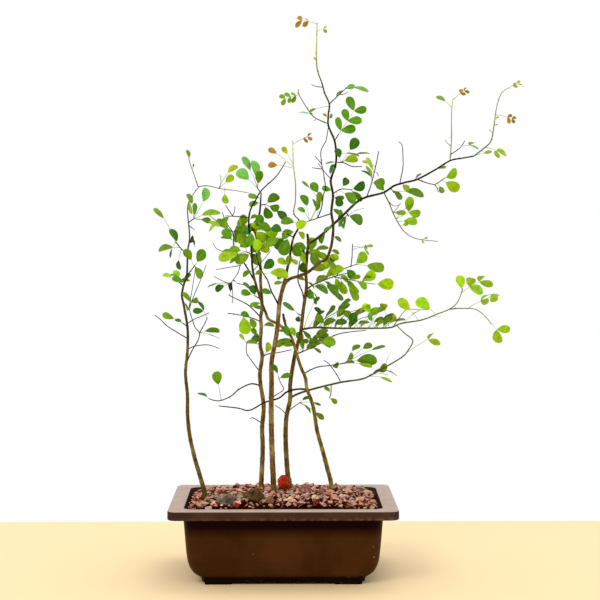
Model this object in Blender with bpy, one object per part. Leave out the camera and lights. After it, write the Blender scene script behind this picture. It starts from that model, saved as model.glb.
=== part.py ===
"""Bonsai forest: five young trees with small compound leaves, in a brown training pot.

Metres, +Z up. The pot stands on z = 0, its long side runs along X and its front faces -Y. The
origin is under the middle of the whole object, so the pot stands to the left of it.

The trees are laid out in millimetres on a front elevation: across from the pot's middle and up
from its foot, as each point lines up with the plane through the pot's middle for an eye that
stands EYE_AWAY in front of it and EYE_HIGH above its foot. A third number is the depth behind
that plane.
"""

import math
import random

import bmesh
import bpy
from mathutils import Vector
from mathutils.bvhtree import BVHTree

MM = 0.001

# The eye that the elevation is drawn for, and the pot's place
EYE_AWAY = 1454.0
EYE_HIGH = 308.0
POT_ACROSS = -47.7

# Pot: rim, body and feet, in millimetres
RIM_LENGTH = 200.0
RIM_WIDTH = 150.0
RIM_TOP = 67.0
RIM_DEPTH = 8.0
FLANGE = 13.5
RIM_CORNER = 8.0
OPENING_CORNER = 9.0
RIM_ROUND = 1.2
OPENING_ROUND = 0.8
RIM_UNDERCUT = 1.5
WALL = 1.8
FLOOR_TOP = 6.6
FLOOR_UNDER = 4.0
CORNER_STEPS = 4
SMOOTH_ANGLE = 35.0

# The pot's outside from the underside up: inset from the rim's end and side, corner, height
BODY_PROFILE = [
    (34.0, 25.5, 10.0, FLOOR_UNDER),
    (27.5, 19.5, 12.0, 4.8),
    (21.0, 17.5, 14.0, 9.0),
    (17.0, 16.5, 15.0, 16.0),
    (15.0, 15.0, 15.0, 27.0),
    (12.5, 12.5, 14.0, RIM_TOP - RIM_DEPTH),
]
RIM_LOOPS = 6

# Feet and drain holes
FOOT_LENGTH = 26.0
FOOT_WIDTH = 20.0
FOOT_END = 69.5
FOOT_SIDE = 56.0
FOOT_TOP = 6.3
FOOT_TAPER = 1.0
DRAIN_SPACING = 80.0
DRAIN_RADIUS = 7.0
DRAIN_SIDES = 16
DRAIN_PAST = 1.0

# Drain screens
SCREEN_SIZE = 26.0
SCREEN_THICK = 0.8

# Growing mix
GAP = 0.3
MIX_INSET = 0.9
GRAVEL_CELL = 10.5
GRAVEL_ROUGH = 2.3
GRAVEL_SHIFT = 1.7
MIX_EDGE = 63.0
MIX_FRONT_RISE = 2.5
MIX_CROWN = 8.5
MIX_LONG_POWER = 4
MIX_CROSS_POWER = 8
MIX_SEED = 7
EDGE_ROUGH = 0.5
EDGE_OVER = 5.0
MIX_WAIST = 27.0
FLOOR_INSET = 2.5
HOLE_POINTS = 3

# Wood
TRUNK_SIDES = 6
TWIG_SIDES = 4
THICKEST_TWIG = 2.0
THINNEST = 1.0
BRANCH_SPREAD = 1.35
ROUTE_STEPS = 20
SEAT_STEP = 0.1
SEAT_POINTS = 8

# Leaves
BLADE = 0.7
RACHIS_HALF = 0.45
LOBE_ROOT = 0.75
LEAFLET_WIDE = 0.7
LEAFLET_ANGLE = 50.0
PAIR_PITCH = 0.84
LEAFLET_WAVER = 6.0
LEAFLET_SIZES = (0.9, 1.06)
LEAF_RISE = 0.05
LEAF_DROOP = 0.12
DEPTH_STEP = 3.0
DEPTH_TRIES = 14
LEAF_SEEDS = 100
LEAF_FACING = Vector((0.0, -0.5, 1.0))

# A leaflet's corners past its root: how far out, and how much of its width back or forward
LEAFLET_CORNERS = ((0.58, 0.5), (0.96, 0.24), (1.0, -0.2), (0.62, -0.5))

# The outline of a leaflet that ends its stalk: how far out, and its half width there
SINGLE_CORNERS = ((0.0, 0.0), (0.4, 0.48), (0.84, 0.42), (1.0, 0.14))

# The same for a small leaflet, up to this length
SMALL_LEAFLET = 11.0
SMALL_CORNERS = ((0.0, 0.0), (0.5, 0.5), (0.95, 0.28))
FIRST_ROOT = 0.5
LEAF_CLEAR = 1.5

# Colour of each finish
POT_BROWN = (0.055, 0.026, 0.010, 1.0)
SCREEN_BLACK = (0.03, 0.03, 0.03, 1.0)
MIX_RED = (0.20, 0.085, 0.06, 1.0)
BARK = (0.19, 0.095, 0.025, 1.0)
LEAF_GREEN = (0.10, 0.33, 0.02, 1.0)
LEAF_YELLOW = (0.35, 0.45, 0.04, 1.0)

# Roughness of each finish
POT_ROUGHNESS = 0.42
SCREEN_ROUGHNESS = 0.6
STONE_ROUGHNESS = 0.85
MIX_ROUGHNESS = 0.9
BARK_ROUGHNESS = 0.75
LEAF_ROUGHNESS = 0.5

# Each route: where it springs from, thick and thin ends, depth at its end, then across and up
TRUNKS = {
    "t1": (4.4, 0.9, 1.1, -12, -5, [
        (-66, 50), (-72.8, 78), (-79.2, 100), (-83.9, 120), (-86.3, 140), (-86.5, 160), (-88.2, 180),
        (-86.4, 200), (-86.3, 220), (-89.5, 240), (-91.3, 250), (-89.5, 260), (-86.9, 268), (-86, 290),
        (-84.3, 303), (-86.2, 328), (-82.8, 338), (-75.7, 348)]),
    "t2": (4.6, 1.2, 0.6, 28, 24, [
        (-20.5, 50), (-20, 78), (-18.6, 110), (-19.1, 130), (-17.7, 150), (-20.6, 170), (-21, 180),
        (-19, 195), (-20.8, 205), (-19.9, 220), (-20.3, 230), (-19.1, 240), (-20.5, 262), (-20.6, 275),
        (-24, 302), (-27.5, 312), (-21.7, 322.4), (-19.9, 342)]),
    "t3": (5.3, 3.6, 1.0, 0, -1, [
        (-8.5, 50), (-8.9, 80), (-10.2, 110), (-10.9, 145), (-10.6, 170), (-10.5, 190), (-7.7, 205),
        (-5.4, 220), (-3.7, 240), (-2, 250), (1.6, 263)]),
    "t4": (4.9, 2.3, 0.9, 33, 26, [
        (6, 50), (5.6, 78), (3.8, 90), (2.1, 120), (2.9, 140), (6, 155), (6.3, 170), (8.5, 185),
        (11.3, 200), (15.5, 215), (17.8, 235), (20.9, 257), (20.5, 270), (21.9, 291), (22.7, 297),
        (21.8, 304.5)]),
    "t5": (4.3, 2.2, 0.9, 14, 12, [
        (44.5, 50), (43.3, 78), (40.7, 90), (35.4, 110), (30.5, 128), (26.8, 150), (21.5, 165),
        (20, 175), (15.9, 185), (12.7, 195), (8.3, 210), (3.2, 220), (0.8, 228), (0, 232.5)]),
}

BRANCHES = {
    "t1_tip": ("t1", 1.0, 0.8, -9, [(-76.5, 346.8), (-80, 358), (-84.5, 371), (-85, 379)]),
    "t1_bare": ("t1", 1.1, 0.8, -22, [
        (-86.5, 211), (-94, 215.5), (-105, 222.5), (-110, 227.5), (-115.5, 232)]),
    "t1_low": ("t1", 1.0, 0.8, 6, [(-86.4, 201), (-80, 204), (-68, 205.2), (-58, 202)]),
    "t1_cross": ("t1", 1.0, 0.8, 12, [(-87, 224.5), (-80, 228.5), (-75.5, 230.3), (-67, 234)]),
    "arch": ("t1", 1.0, 0.8, -24, [
        (-75.7, 348), (-67.7, 348.5), (-55.7, 345.8), (-40.6, 343.9), (-28.9, 341.6)]),
    "spur_1a": ("t1", 1.1, 1.0, -9, [(-85.3, 315), (-80.5, 319)]),
    "spur_1b": ("t1", 1.1, 1.0, -12, [(-86.9, 268), (-83, 272.5), (-79.5, 277)]),
    "spur_1c": ("t1", 1.1, 1.0, -14, [(-86, 289), (-90, 290), (-97, 298)]),
    "spur_1d": ("t1", 1.1, 1.0, -2, [(-89.8, 258), (-94, 262)]),
    "spur_1e": ("t1", 1.1, 1.0, -13, [(-86.3, 222), (-91, 225)]),
    "fork": ("t1", 1.2, 0.9, -22, [
        (-87.3, 189), (-82, 200.5), (-77, 209), (-75.6, 216), (-80, 222), (-85, 238)]),
    "fork_b": ("fork", 1.0, 0.9, -16, [(-75.6, 216), (-71, 224), (-68.6, 229.5)]),

    "t2_limb": ("t2", 1.3, 0.9, 45, [(-20.2, 230), (-27, 237), (-33, 242), (-44, 247.5), (-49, 250)]),
    "t2_twig": ("t2", 1.0, 0.8, 40, [(-19.8, 250.5), (-32, 258), (-42, 261)]),
    "t2_stub": ("t2", 1.1, 0.9, 36, [(-18.9, 134), (-27, 139), (-30, 138.5)]),
    "two_left": ("t2", 1.1, 0.9, 38, [(-21, 181), (-28, 190), (-33, 198), (-33, 207)]),
    "two_mid": ("t2", 1.1, 0.9, 14, [(-20, 226), (-30, 230), (-44, 233), (-50, 233.5)]),
    "two_low": ("t2", 1.4, 1.0, 19, [
        (-20.4, 168), (-29, 170), (-40, 165), (-47, 159), (-56, 155), (-62, 155), (-67, 156.5)]),
    "two_right": ("t2", 1.1, 0.9, 17, [(-19, 194.5), (-13.5, 197), (-4.4, 198.2), (6.9, 200.7)]),
    "two_high": ("t2", 1.1, 1.0, 26, [(-20.9, 331), (-16, 331.8)]),
    "two_spur": ("t2", 1.1, 1.0, 22, [(-20.3, 212), (-24, 213)]),

    "t3_up": ("t3", 3.0, 1.5, -4, [(-1, 254), (3, 271), (5.7, 284), (8.9, 301), (13.3, 310), (14, 318)]),
    "t3_limb": ("t3", 3.0, 1.0, -12, [
        (0.4, 259), (5.4, 264.4), (12.9, 267), (22.7, 271), (32.5, 279.5), (38.5, 282.5), (42.3, 290.8),
        (44.2, 300), (45.1, 312.2), (43.4, 325), (44.8, 340), (42.9, 353.3), (46.8, 366), (47.8, 376),
        (46.2, 389), (40.8, 402.3), (40.6, 412.8), (41.5, 422), (37.4, 431.7), (34.9, 440.7),
        (30.2, 456), (30.2, 483)]),
    "three_low": ("t3", 1.0, 0.8, -13, [(-10.8, 157), (-4, 161.5), (0.5, 165), (-2, 170), (-4.5, 176)]),
    "three_red": ("t3", 1.5, 0.9, -22, [
        (-3.7, 240), (-6.7, 246), (-11.2, 254.6), (-14.2, 263.6), (-21, 275), (-25, 290)]),
    "three_crown": ("t3_up", 1.2, 1.0, -9, [(9.5, 302.5), (3, 305)]),
    "pale": ("t3_up", 1.2, 0.9, -12, [
        (14, 318), (9.5, 324), (11, 336), (11, 351), (9.1, 367.6), (8.6, 389)]),
    "inner": ("t3_limb", 1.2, 0.9, -20, [(43.5, 324), (35.5, 321), (21.9, 316.4)]),
    "inner_rise": ("inner", 1.1, 0.8, -26, [
        (31, 319.4), (34.6, 329), (36.2, 340.5), (38.1, 346), (36.6, 358), (34.7, 368), (34, 380),
        (38.5, 389.4), (40.6, 401.5)]),
    "right_low": ("t3_limb", 1.1, 0.9, 6, [(44.8, 341.5), (52, 345.5), (62, 345)]),
    "right_mid": ("t3_limb", 1.1, 0.9, -22, [(47.2, 369.5), (54, 369.5), (62, 366), (71, 366)]),
    "right_face": ("t3_limb", 1.1, 1.0, -11, [(46.2, 389), (49.8, 395)]),
    "high_right": ("t3_limb", 1.1, 0.9, -19, [(41.5, 422), (46, 426.5), (54, 434), (57, 437)]),
    "high_left": ("t3_limb", 1.1, 0.9, -24, [
        (40.7, 404.5), (34, 407), (27, 411), (21, 419), (14, 431), (14, 435)]),
    "top": ("t3_limb", 1.0, 0.8, -13, [(30.2, 483), (30.5, 495)]),

    "t4_diag": ("t4", 2.5, 1.3, -20, [
        (22.6, 296), (29.5, 300.5), (39.3, 308.5), (52.8, 321), (65.6, 333.3), (74.3, 338.2),
        (90.5, 342.6), (99.5, 348.4), (109.3, 351.5), (120.6, 354.4), (135.7, 362.3), (150.4, 371.2),
        (162, 373.6), (171.8, 375.4)]),
    "t4_stub": ("t4", 1.0, 0.8, 38, [(2.9, 141.5), (-2, 147), (-7.5, 150.7)]),
    "t4_rise": ("t4_diag", 1.0, 0.8, -4, [(105, 350.2), (107.5, 363), (108, 370), (107, 385), (104, 388)]),
    "upper": ("t4", 2.0, 0.9, -16, [
        (16, 219), (29.5, 220.8), (50, 220.1), (77.7, 220.1), (96.5, 220.7), (106.3, 224.4),
        (125.1, 227.6), (138.7, 232.8), (150.7, 237.7), (157.7, 244.3), (162, 256)]),
    "upper_drop": ("upper", 1.1, 0.8, -26, [
        (149.5, 237.2), (160, 238), (174, 237), (184, 229), (187.5, 224)]),
    "mid_low": ("t4", 1.3, 0.9, 44, [
        (10.5, 196), (20.4, 200.4), (32.5, 206), (49.8, 214.9), (74.3, 218.3)]),
    "low": ("t4", 2.0, 1.0, -6, [
        (6.1, 157), (15.1, 161.6), (31.7, 166.5), (52.8, 171.4), (70.2, 174), (79.2, 177.8), (92, 184.9),
        (107.1, 193.9), (113.1, 200.7), (116.9, 209), (109.3, 215.8), (103, 222)]),
    "low_rise": ("low", 1.0, 0.9, 24, [(51.5, 171.1), (49, 177), (42, 187), (37, 191)]),
    "low_drop": ("low", 1.0, 0.9, 14, [(43, 169), (43, 161), (41.5, 157)]),
    "mid": ("t4", 1.4, 0.9, 42, [
        (20.6, 254.5), (27.2, 259.5), (36.2, 263.3), (49.1, 267.8), (57.3, 269.7)]),
    "mid_up": ("mid", 1.1, 0.9, 48, [(48, 267.4), (53, 273), (62, 276.5), (67, 278)]),
    "mid_along": ("mid", 1.1, 0.9, 34, [(45, 266.3), (60, 264), (72, 261.5), (82, 260)]),
    "mid_tip": ("mid_up", 1.0, 0.9, 44, [(61, 276.1), (62, 285), (62.5, 296)]),
    "second": ("t4", 1.4, 1.0, 44, [(18.9, 243), (17.5, 252), (13.2, 264), (14.8, 281)]),
    "four_top": ("t4", 1.1, 1.0, 23, [(21.7, 288), (26, 288.6)]),
    "four_inner": ("t4", 1.1, 1.0, 26, [(17.4, 231), (13, 233.5)]),
    "four_foot": ("t4", 1.0, 0.9, 28, [(3.9, 144.5), (8, 148), (15, 153)]),
    "diag_low": ("t4_diag", 1.1, 1.0, 14, [(56.6, 324.6), (59, 321)]),
    "diag_up": ("t4_diag", 1.1, 0.9, 2, [(75, 338.4), (79, 349), (83, 365), (86, 379.5)]),
    "diag_mid": ("t4_diag", 1.1, 1.0, 1, [(97, 346.8), (99.6, 342.5)]),
    "diag_down": ("t4_diag", 1.2, 0.8, -12, [
        (90.5, 342.6), (95, 334), (101, 320), (109, 307.5), (120, 301), (139.5, 298.5)]),
    "diag_fork": ("t4_diag", 1.1, 0.8, -12, [(120.6, 354.4), (130, 351), (137, 349), (140, 343)]),
    "diag_fork_b": ("diag_fork", 1.0, 0.8, -7, [(136, 349.3), (142, 353), (146, 356)]),
    "diag_stem": ("t4_diag", 1.1, 0.8, -20, [
        (150.6, 371.3), (151.5, 390), (151.5, 408), (152, 420), (153, 427)]),
    "diag_stem_b": ("diag_stem", 1.0, 0.8, -16, [(150.9, 377), (159, 382.5), (163.5, 389)]),
    "end": ("t4_diag", 1.3, 0.8, -30, [
        (171.8, 375.4), (180.8, 382.4), (187, 388.7), (189.6, 400.5), (191.7, 416.7), (194.7, 428),
        (198, 433.6), (203.7, 436.9)]),

    "t5_lead": ("t5", 2.8, 0.9, -8, [
        (6, 214.5), (-3.7, 223.4), (-13.1, 228.3), (-16.1, 235), (-20, 245), (-25, 261), (-27.8, 275),
        (-28.5, 290), (-31, 312), (-30, 325.4), (-25.1, 335.2), (-19.1, 345), (-6, 357.4), (2, 370)]),
    "t5_left": ("t5", 1.8, 1.0, 0, [
        (21.5, 165), (12, 165), (3, 162.5), (-4, 157), (-17, 153), (-30.5, 146), (-41, 148), (-58, 150)]),
    "t5_side": ("t5_lead", 1.1, 0.8, -10, [(-30.6, 320), (-40, 320.8), (-52, 321.5)]),
    "t5_side_b": ("t5_side", 1.0, 0.8, -13, [(-45.5, 321.1), (-52, 331)]),
    "five_limb": ("t5_lead", 1.5, 0.8, 28, [
        (-25.3, 262), (-32.7, 275), (-38.7, 284), (-44.3, 292.3), (-45.3, 306), (-51.1, 315),
        (-54.9, 324.7)]),
    "five_limb_b": ("five_limb", 1.0, 0.8, 34, [(-46, 307.5), (-55.7, 313.4), (-66.2, 321.7)]),
    "five_limb_c": ("five_limb", 1.0, 0.8, 20, [(-45.3, 304), (-40.6, 315), (-38.3, 318)]),
    "five_hang": ("five_limb", 1.0, 0.8, 30, [(-37.5, 282), (-41, 270), (-48, 260)]),
    "five_right": ("t5", 1.2, 0.9, -4, [(18.4, 179), (29.5, 184.6), (42.3, 186.6), (56.2, 188.5)]),
    "five_face": ("t5_lead", 1.1, 1.0, -7, [(-20.8, 342.5), (-23.5, 347)]),
    "five_crown": ("t5_lead", 1.1, 1.0, -1, [(-30.5, 308), (-26, 309.5)]),
    "five_side": ("t5_lead", 1.1, 1.0, 2, [(-28.4, 287), (-33, 289)]),
    "five_low": ("t5_lead", 1.1, 1.0, 5, [(-20.6, 247), (-25, 249)]),
    "five_in": ("t5", 1.1, 1.0, 8, [(9.4, 206.5), (5.5, 209.5)]),
}

# Each tree's own wood, and each leafy shoot: the routes that are fused in one piece
TREES = {
    "tree_1": ["t1", "t1_tip", "t1_bare", "t1_low", "t1_cross"],
    "tree_2": ["t2", "t2_limb", "t2_twig", "t2_stub"],
    "tree_3": ["t3", "t3_up", "t3_limb"],
    "tree_4": ["t4", "t4_stub", "t4_diag", "t4_rise"],
    "tree_5": ["t5", "t5_lead", "t5_left", "t5_side", "t5_side_b"],
}

SHOOTS = {
    "shoot_1_arch": ["arch"],
    "shoot_1_top": ["spur_1a"],
    "shoot_1_mid": ["spur_1b"],
    "shoot_1_out": ["spur_1c"],
    "shoot_1_back": ["spur_1d"],
    "shoot_1_side": ["spur_1e"],
    "shoot_1_fork": ["fork", "fork_b"],
    "shoot_2_left": ["two_left"],
    "shoot_2_mid": ["two_mid"],
    "shoot_2_low": ["two_low"],
    "shoot_2_right": ["two_right"],
    "shoot_2_high": ["two_high"],
    "shoot_2_spur": ["two_spur"],
    "shoot_3_low": ["three_low"],
    "shoot_3_red": ["three_red"],
    "shoot_3_crown": ["three_crown"],
    "shoot_3_pale": ["pale"],
    "shoot_3_inner": ["inner", "inner_rise"],
    "shoot_3_right_low": ["right_low"],
    "shoot_3_right_mid": ["right_mid"],
    "shoot_3_face": ["right_face"],
    "shoot_3_high_right": ["high_right"],
    "shoot_3_high_left": ["high_left"],
    "shoot_3_top": ["top"],
    "shoot_4_upper": ["upper", "upper_drop"],
    "shoot_4_mid_low": ["mid_low"],
    "shoot_4_low": ["low", "low_rise", "low_drop"],
    "shoot_4_mid": ["mid", "mid_up", "mid_along", "mid_tip"],
    "shoot_4_second": ["second"],
    "shoot_4_top": ["four_top"],
    "shoot_4_inner": ["four_inner"],
    "shoot_4_foot": ["four_foot"],
    "shoot_4_diag_low": ["diag_low"],
    "shoot_4_diag_up": ["diag_up"],
    "shoot_4_diag_mid": ["diag_mid"],
    "shoot_4_diag_down": ["diag_down"],
    "shoot_4_diag_fork": ["diag_fork", "diag_fork_b"],
    "shoot_4_diag_stem": ["diag_stem", "diag_stem_b"],
    "shoot_4_end": ["end"],
    "shoot_5_limb": ["five_limb", "five_limb_b", "five_limb_c", "five_hang"],
    "shoot_5_right": ["five_right"],
    "shoot_5_face": ["five_face"],
    "shoot_5_crown": ["five_crown"],
    "shoot_5_side": ["five_side"],
    "shoot_5_low": ["five_low"],
    "shoot_5_in": ["five_in"],
}

# Each leaf: its foot and its tip on the elevation, the depth from foot to tip, the pairs of
# leaflets (0 for one leaflet at the end of its stalk), a leaflet's length, and its turn from
# face on (0) to edge on (90)
LEAVES = {
    "arch": [((-58, 346), (-45.0, 357.5), -3, 0, 9, 10), ((-58, 346), (-43, 368), -3, 0, 10, 55),
        ((-53, 345.3), (-51.5, 332.5), 3, 0, 9, 30)],
    "spur_1a": [((-80.5, 319), (-57, 325.5), -8, 0, 18, 50), ((-80.7, 318.8), (-65, 316.5), 3, 0, 9, 50),
        ((-80.6, 318.6), (-57, 312.5), -2, 0, 12, 55), ((-80.7, 318.8), (-67, 346), 5, 0, 13, 30),
        ((-80.9, 318.8), (-79.5, 333), -3, 0, 11, 55)],
    "spur_1b": [((-79.5, 277), (-71.5, 290.0), -6, 0, 12, 15),
        ((-80, 276.5), (-73.0, 266.5), 3, 0, 11, 35), ((-80.5, 276), (-88, 291.5), -3, 0, 11, 30)],
    "spur_1c": [((-97, 298), (-115, 329), -6, 0, 12, 65), ((-95.5, 296), (-100.5, 310), 4, 0, 13, 50),
        ((-93, 293), (-112, 290), 6, 0, 14, 65), ((-92, 292), (-95, 273), 5, 0, 9, 30)],
    "spur_1d": [((-94, 262), (-108, 269), 8, 0, 9, 40), ((-94, 262), (-97, 273), 5, 0, 9, 25),
        ((-92, 260), (-83.5, 269), 9, 0, 10, 55)],
    "spur_1e": [((-91, 225), (-109, 232.5), -7, 0, 11, 60)],
    "fork": [((-84.5, 236), (-83, 244), 3, 1, 10, 25)],
    "fork_b": [((-68.8, 229), (-72, 236), -4, 1, 9, 55), ((-75.6, 216), (-57.5, 218), 5, 0, 14, 72),
        ((-75.6, 216), (-57, 212), 3, 0, 14, 75)],
    "two_left": [((-33, 206), (-21.0, 213.0), 5, 0, 12, 20)],
    "two_mid": [((-36, 231.8), (-33.5, 215.0), -4, 0, 16, 10), ((-31, 230.3), (-25, 222), 4, 0, 10, 40)],
    "two_low": [((-56, 155), (-60.5, 181), -3, 0, 12, 5), ((-67, 156.5), (-76, 163.5), 4, 0, 10, 78)],
    "two_right": [((-18, 195.3), (-11.5, 207.0), 4, 0, 10, 35)],
    "two_high": [((-16, 331.8), (-4.5, 341.0), -4, 0, 13, 30),
        ((-17, 331.7), (-12.0, 319.5), 5, 0, 12, 10), ((-16, 331.8), (-3.5, 327.0), 3, 0, 10, 20),
        ((-16, 331.8), (3.0, 320.0), 6, 0, 11, 35)],
    "two_spur": [((-23, 212.8), (-28, 220), -3, 0, 9, 50)],
    "three_low": [((-3.5, 174.5), (6, 179.5), 3, 0, 10, 60), ((-4.5, 176), (-8.5, 187.5), -3, 0, 9, 72)],
    "three_red": [((-24.8, 288), (-23, 300), -3, 0, 12, 20), ((-9.5, 251), (-19, 254.5), -4, 0, 10, 55),
        ((-19.5, 272.5), (-9.0, 280.5), -4, 0, 11, 15), ((-17.5, 269), (5, 270.5), -4, 0, 17, 35)],
    "three_crown": [((3, 305), (-10.0, 312.5), 6, 0, 11, 10), ((4, 304.6), (-8.5, 292.5), 4, 0, 13, 15),
        ((3.5, 304.8), (-15.0, 296.5), -5, 0, 12, 20), ((5, 304.2), (-1, 287), -6, 0, 15, 10),
        ((8, 303.2), (14.0, 285.0), -3, 0, 12, 40)],
    "pale": [((9.3, 366.5), (0.0, 383.5), -4, 0, 7, 15), ((9.3, 365.5), (-12.5, 382.5), -5, 0, 8, 20),
        ((8.8, 386), (22, 392.5), 3, 2, 5, 50)],
    "inner": [((23.5, 317), (18.5, 341.0), 4, 0, 11, 35), ((24, 317), (34.0, 343.0), 2, 0, 13, 45),
        ((25, 317.3), (32.5, 335.5), 6, 0, 11, 45), ((22.5, 316.6), (11.5, 312), -3, 0, 13, 5)],
    "inner_rise": [((35.3, 333.5), (26, 351.5), -4, 0, 10, 20)],
    "right_low": [((52, 345.5), (58, 355.5), 4, 0, 9, 20), ((60, 345), (74.5, 349.5), 4, 0, 13, 20),
        ((60, 345), (71, 336.5), 3, 0, 13, 60), ((50, 344.5), (66, 335), -3, 0, 13, 35),
        ((48, 343), (51.5, 330), -3, 0, 10, 30)],
    "right_mid": [((52, 369.5), (67, 391), -4, 0, 12, 15), ((51.5, 369.5), (67, 374), -3, 0, 12, 35),
        ((51.5, 369.5), (48.5, 382.5), 3, 0, 9, 35)],
    "right_face": [((49.5, 394.5), (63.5, 416), -3, 3, 12.5, 10)],
    "high_right": [((55, 435.5), (63.5, 439.5), 2, 0, 9, 55), ((57, 437), (77, 434.5), -2, 0, 14, 80),
        ((47, 427.5), (52.5, 435), -4, 0, 8, 70)],
    "high_left": [((14.3, 430.5), (2, 427), -2, 3, 5.8, 10), ((26, 412), (14, 415.5), 4, 0, 10, 72)],
    "top": [((30.4, 494), (17, 497), -2, 2, 7, 30), ((30.3, 487), (36, 489), 3, 1, 5, 40)],
    "upper": [((37, 220.8), (60.5, 246.5), 6, 0, 13, 55), ((33, 220.8), (47.5, 240), 8, 0, 10, 55),
        ((42, 220.5), (55.5, 237.5), -6, 0, 11, 30), ((40, 220.6), (30.5, 232), -4, 0, 10, 30),
        ((33, 220.8), (46.5, 228.5), -8, 0, 11, 45), ((46, 220.4), (56.5, 228), -6, 0, 10, 35),
        ((60, 220.2), (64.5, 233.5), -3, 0, 11, 5), ((62, 220.1), (77, 228.5), -8, 0, 12, 40),
        ((50, 220.2), (74.5, 238.5), 8, 0, 15, 65), ((84, 220.3), (73.5, 243), 6, 0, 11, 25),
        ((70, 220.1), (89, 239.5), -6, 0, 13, 45), ((84, 220.3), (98.5, 235), -6, 0, 12, 45),
        ((92, 220.6), (101, 232.5), 5, 0, 10, 15), ((68, 220.1), (55.5, 235.5), 3, 0, 10, 45),
        ((77, 220.1), (90, 230.5), -4, 0, 10, 40), ((122.5, 227.3), (104.6, 246.5), -4, 0, 14, 20),
        ((138, 232.6), (120.5, 246.5), 5, 0, 15, 25), ((161.2, 254), (159, 268), 3, 0, 12, 10),
        ((160.5, 252), (177, 262), -4, 2, 12, 30)],
    "upper_drop": [((166, 237.6), (187, 248), 5, 2, 11, 60), ((185.5, 227), (193, 219), -4, 1, 13, 20)],
    "mid_low": [((18, 199.4), (13.5, 217), 4, 0, 11, 35), ((22, 201), (40, 219), -5, 0, 15, 65),
        ((18, 199.4), (32, 210), 4, 0, 15, 35), ((28, 203.8), (47, 210), -5, 0, 14, 25),
        ((18, 199.4), (0, 209.5), 6, 0, 12, 35), ((14, 197.5), (7, 221), -4, 0, 9, 40)],
    "low": [((84, 180.5), (94.5, 186), 4, 0, 11, 30), ((76, 176.4), (98, 174), 8, 0, 13, 72),
        ((92, 184.9), (97, 198), -6, 0, 10, 68), ((107, 193.8), (131, 210), -1, 1, 10.5, 45)],
    "low_rise": [((43, 185.6), (51, 187), 4, 0, 8, 25)],
    "low_drop": [((41.7, 157.3), (48.5, 152.5), -3, 0, 8, 20)],
    "mid": [((38, 263.9), (46, 287), 3, 0, 9, 15), ((34, 262.3), (41.5, 285.5), 5, 0, 14, 20),
        ((40, 264.5), (53.5, 276), -5, 0, 13, 25), ((34, 262.3), (46, 275.5), 6, 0, 13, 35),
        ((27.5, 259.6), (39, 269), -5, 0, 13, 55), ((24, 257.2), (24, 247), -3, 0, 10, 25),
        ((26, 258.6), (41.5, 254.5), -6, 0, 15, 40), ((32, 261.5), (51, 253), -4, 0, 14, 35),
        ((30, 260.7), (54.5, 246.5), 3, 0, 14, 65)],
    "mid_up": [((64, 277), (75.5, 287.5), 4, 0, 14, 15), ((66, 277.7), (91, 273), 4, 0, 17, 35),
        ((56, 274), (64.5, 265.5), -5, 0, 11, 10)],
    "mid_along": [((70, 261.9), (83, 270), -3, 0, 13, 15), ((76, 261), (99.5, 259.5), -5, 0, 15, 20),
        ((55, 264.8), (67, 245.5), 5, 0, 15, 50)],
    "mid_tip": [((62.4, 294), (73, 292.5), -4, 1, 7, 60)],
    "second": [((14.7, 279), (19, 288), -4, 1, 10, 35)],
    "four_top": [((24, 288.3), (26.5, 302), 3, 0, 14, 5), ((25.5, 288.5), (40, 295.5), -5, 0, 12, 50),
        ((25.5, 288.5), (39, 285), 4, 0, 12, 50), ((24, 288.3), (31, 276.5), 5, 0, 13, 25),
        ((23, 288.2), (17, 271), -4, 0, 11, 30), ((22.4, 288.1), (11.0, 293.0), -4, 0, 10, 10),
        ((22, 288), (33, 287), -7, 0, 11, 20)],
    "four_inner": [((13, 233.5), (0, 243), -6, 0, 14, 60), ((15, 232.5), (12, 226), 3, 0, 8, 15)],
    "four_foot": [((14.5, 152.7), (24, 159.5), -4, 0, 9, 35), ((15, 153), (34, 152), 2, 0, 9, 55),
        ((14.5, 152.7), (26, 145), -2, 0, 10, 58), ((15, 153), (36.5, 138), 4, 0, 10, 40)],
    "diag_low": [((58.5, 322), (72, 316), -4, 0, 15, 42), ((57.5, 323), (54, 312.5), 3, 0, 11, 60),
        ((58, 322.3), (48, 314), 4, 0, 11, 62)],
    "diag_up": [((79.5, 351), (92, 351), 4, 0, 12, 20), ((82.5, 359), (76.5, 374.5), -4, 0, 13, 55),
        ((81, 355), (71.5, 363.5), 3, 0, 11, 70)],
    "diag_mid": [((99.6, 343), (127, 342), -5, 0, 17, 60)],
    "diag_down": [((102, 318.5), (113, 325), -3, 1, 12, 15), ((103.5, 316), (120.5, 317), 3, 0, 12, 35),
        ((102, 318.5), (117, 334), -5, 0, 12, 75), ((106, 312.2), (113.5, 316.5), 5, 0, 8, 35)],
    "diag_fork_b": [((144, 354.6), (157.5, 362), 3, 0, 13, 25),
        ((143, 353.7), (159, 345.5), -3, 0, 14, 25)],
    "diag_stem": [((152.9, 426), (163, 434), -2, 2, 4.8, 50), ((152, 419), (138.5, 430), 3, 0, 9, 50)],
    "diag_stem_b": [((160, 384), (168, 385), -4, 1, 10, 62)],
    "end": [((181.5, 383), (192, 380.5), 4, 1, 9, 65), ((191.3, 413), (206, 409), -3, 2, 4.8, 40),
        ((202.5, 436.2), (211, 440.5), 0, 2, 4.8, 50)],
    "five_limb": [((-44.6, 296), (-37.0, 308.0), -4, 0, 13, 10),
        ((-44.7, 297), (-53.5, 310.0), 3, 0, 12, 15), ((-45.2, 303), (-56.5, 317.5), 6, 0, 11, 30),
        ((-43.5, 291), (-29.5, 299.5), -6, 0, 12, 15)],
    "five_limb_c": [((-42.5, 310.5), (-33.0, 321.5), 4, 0, 12, 15),
        ((-41.5, 313), (-30.0, 306.5), -4, 0, 12, 15), ((-39.5, 316.5), (-21.5, 309.5), 2, 0, 12, 25)],
    "five_hang": [((-47.5, 260.5), (-61.5, 255), 4, 0, 10, 25),
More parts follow.
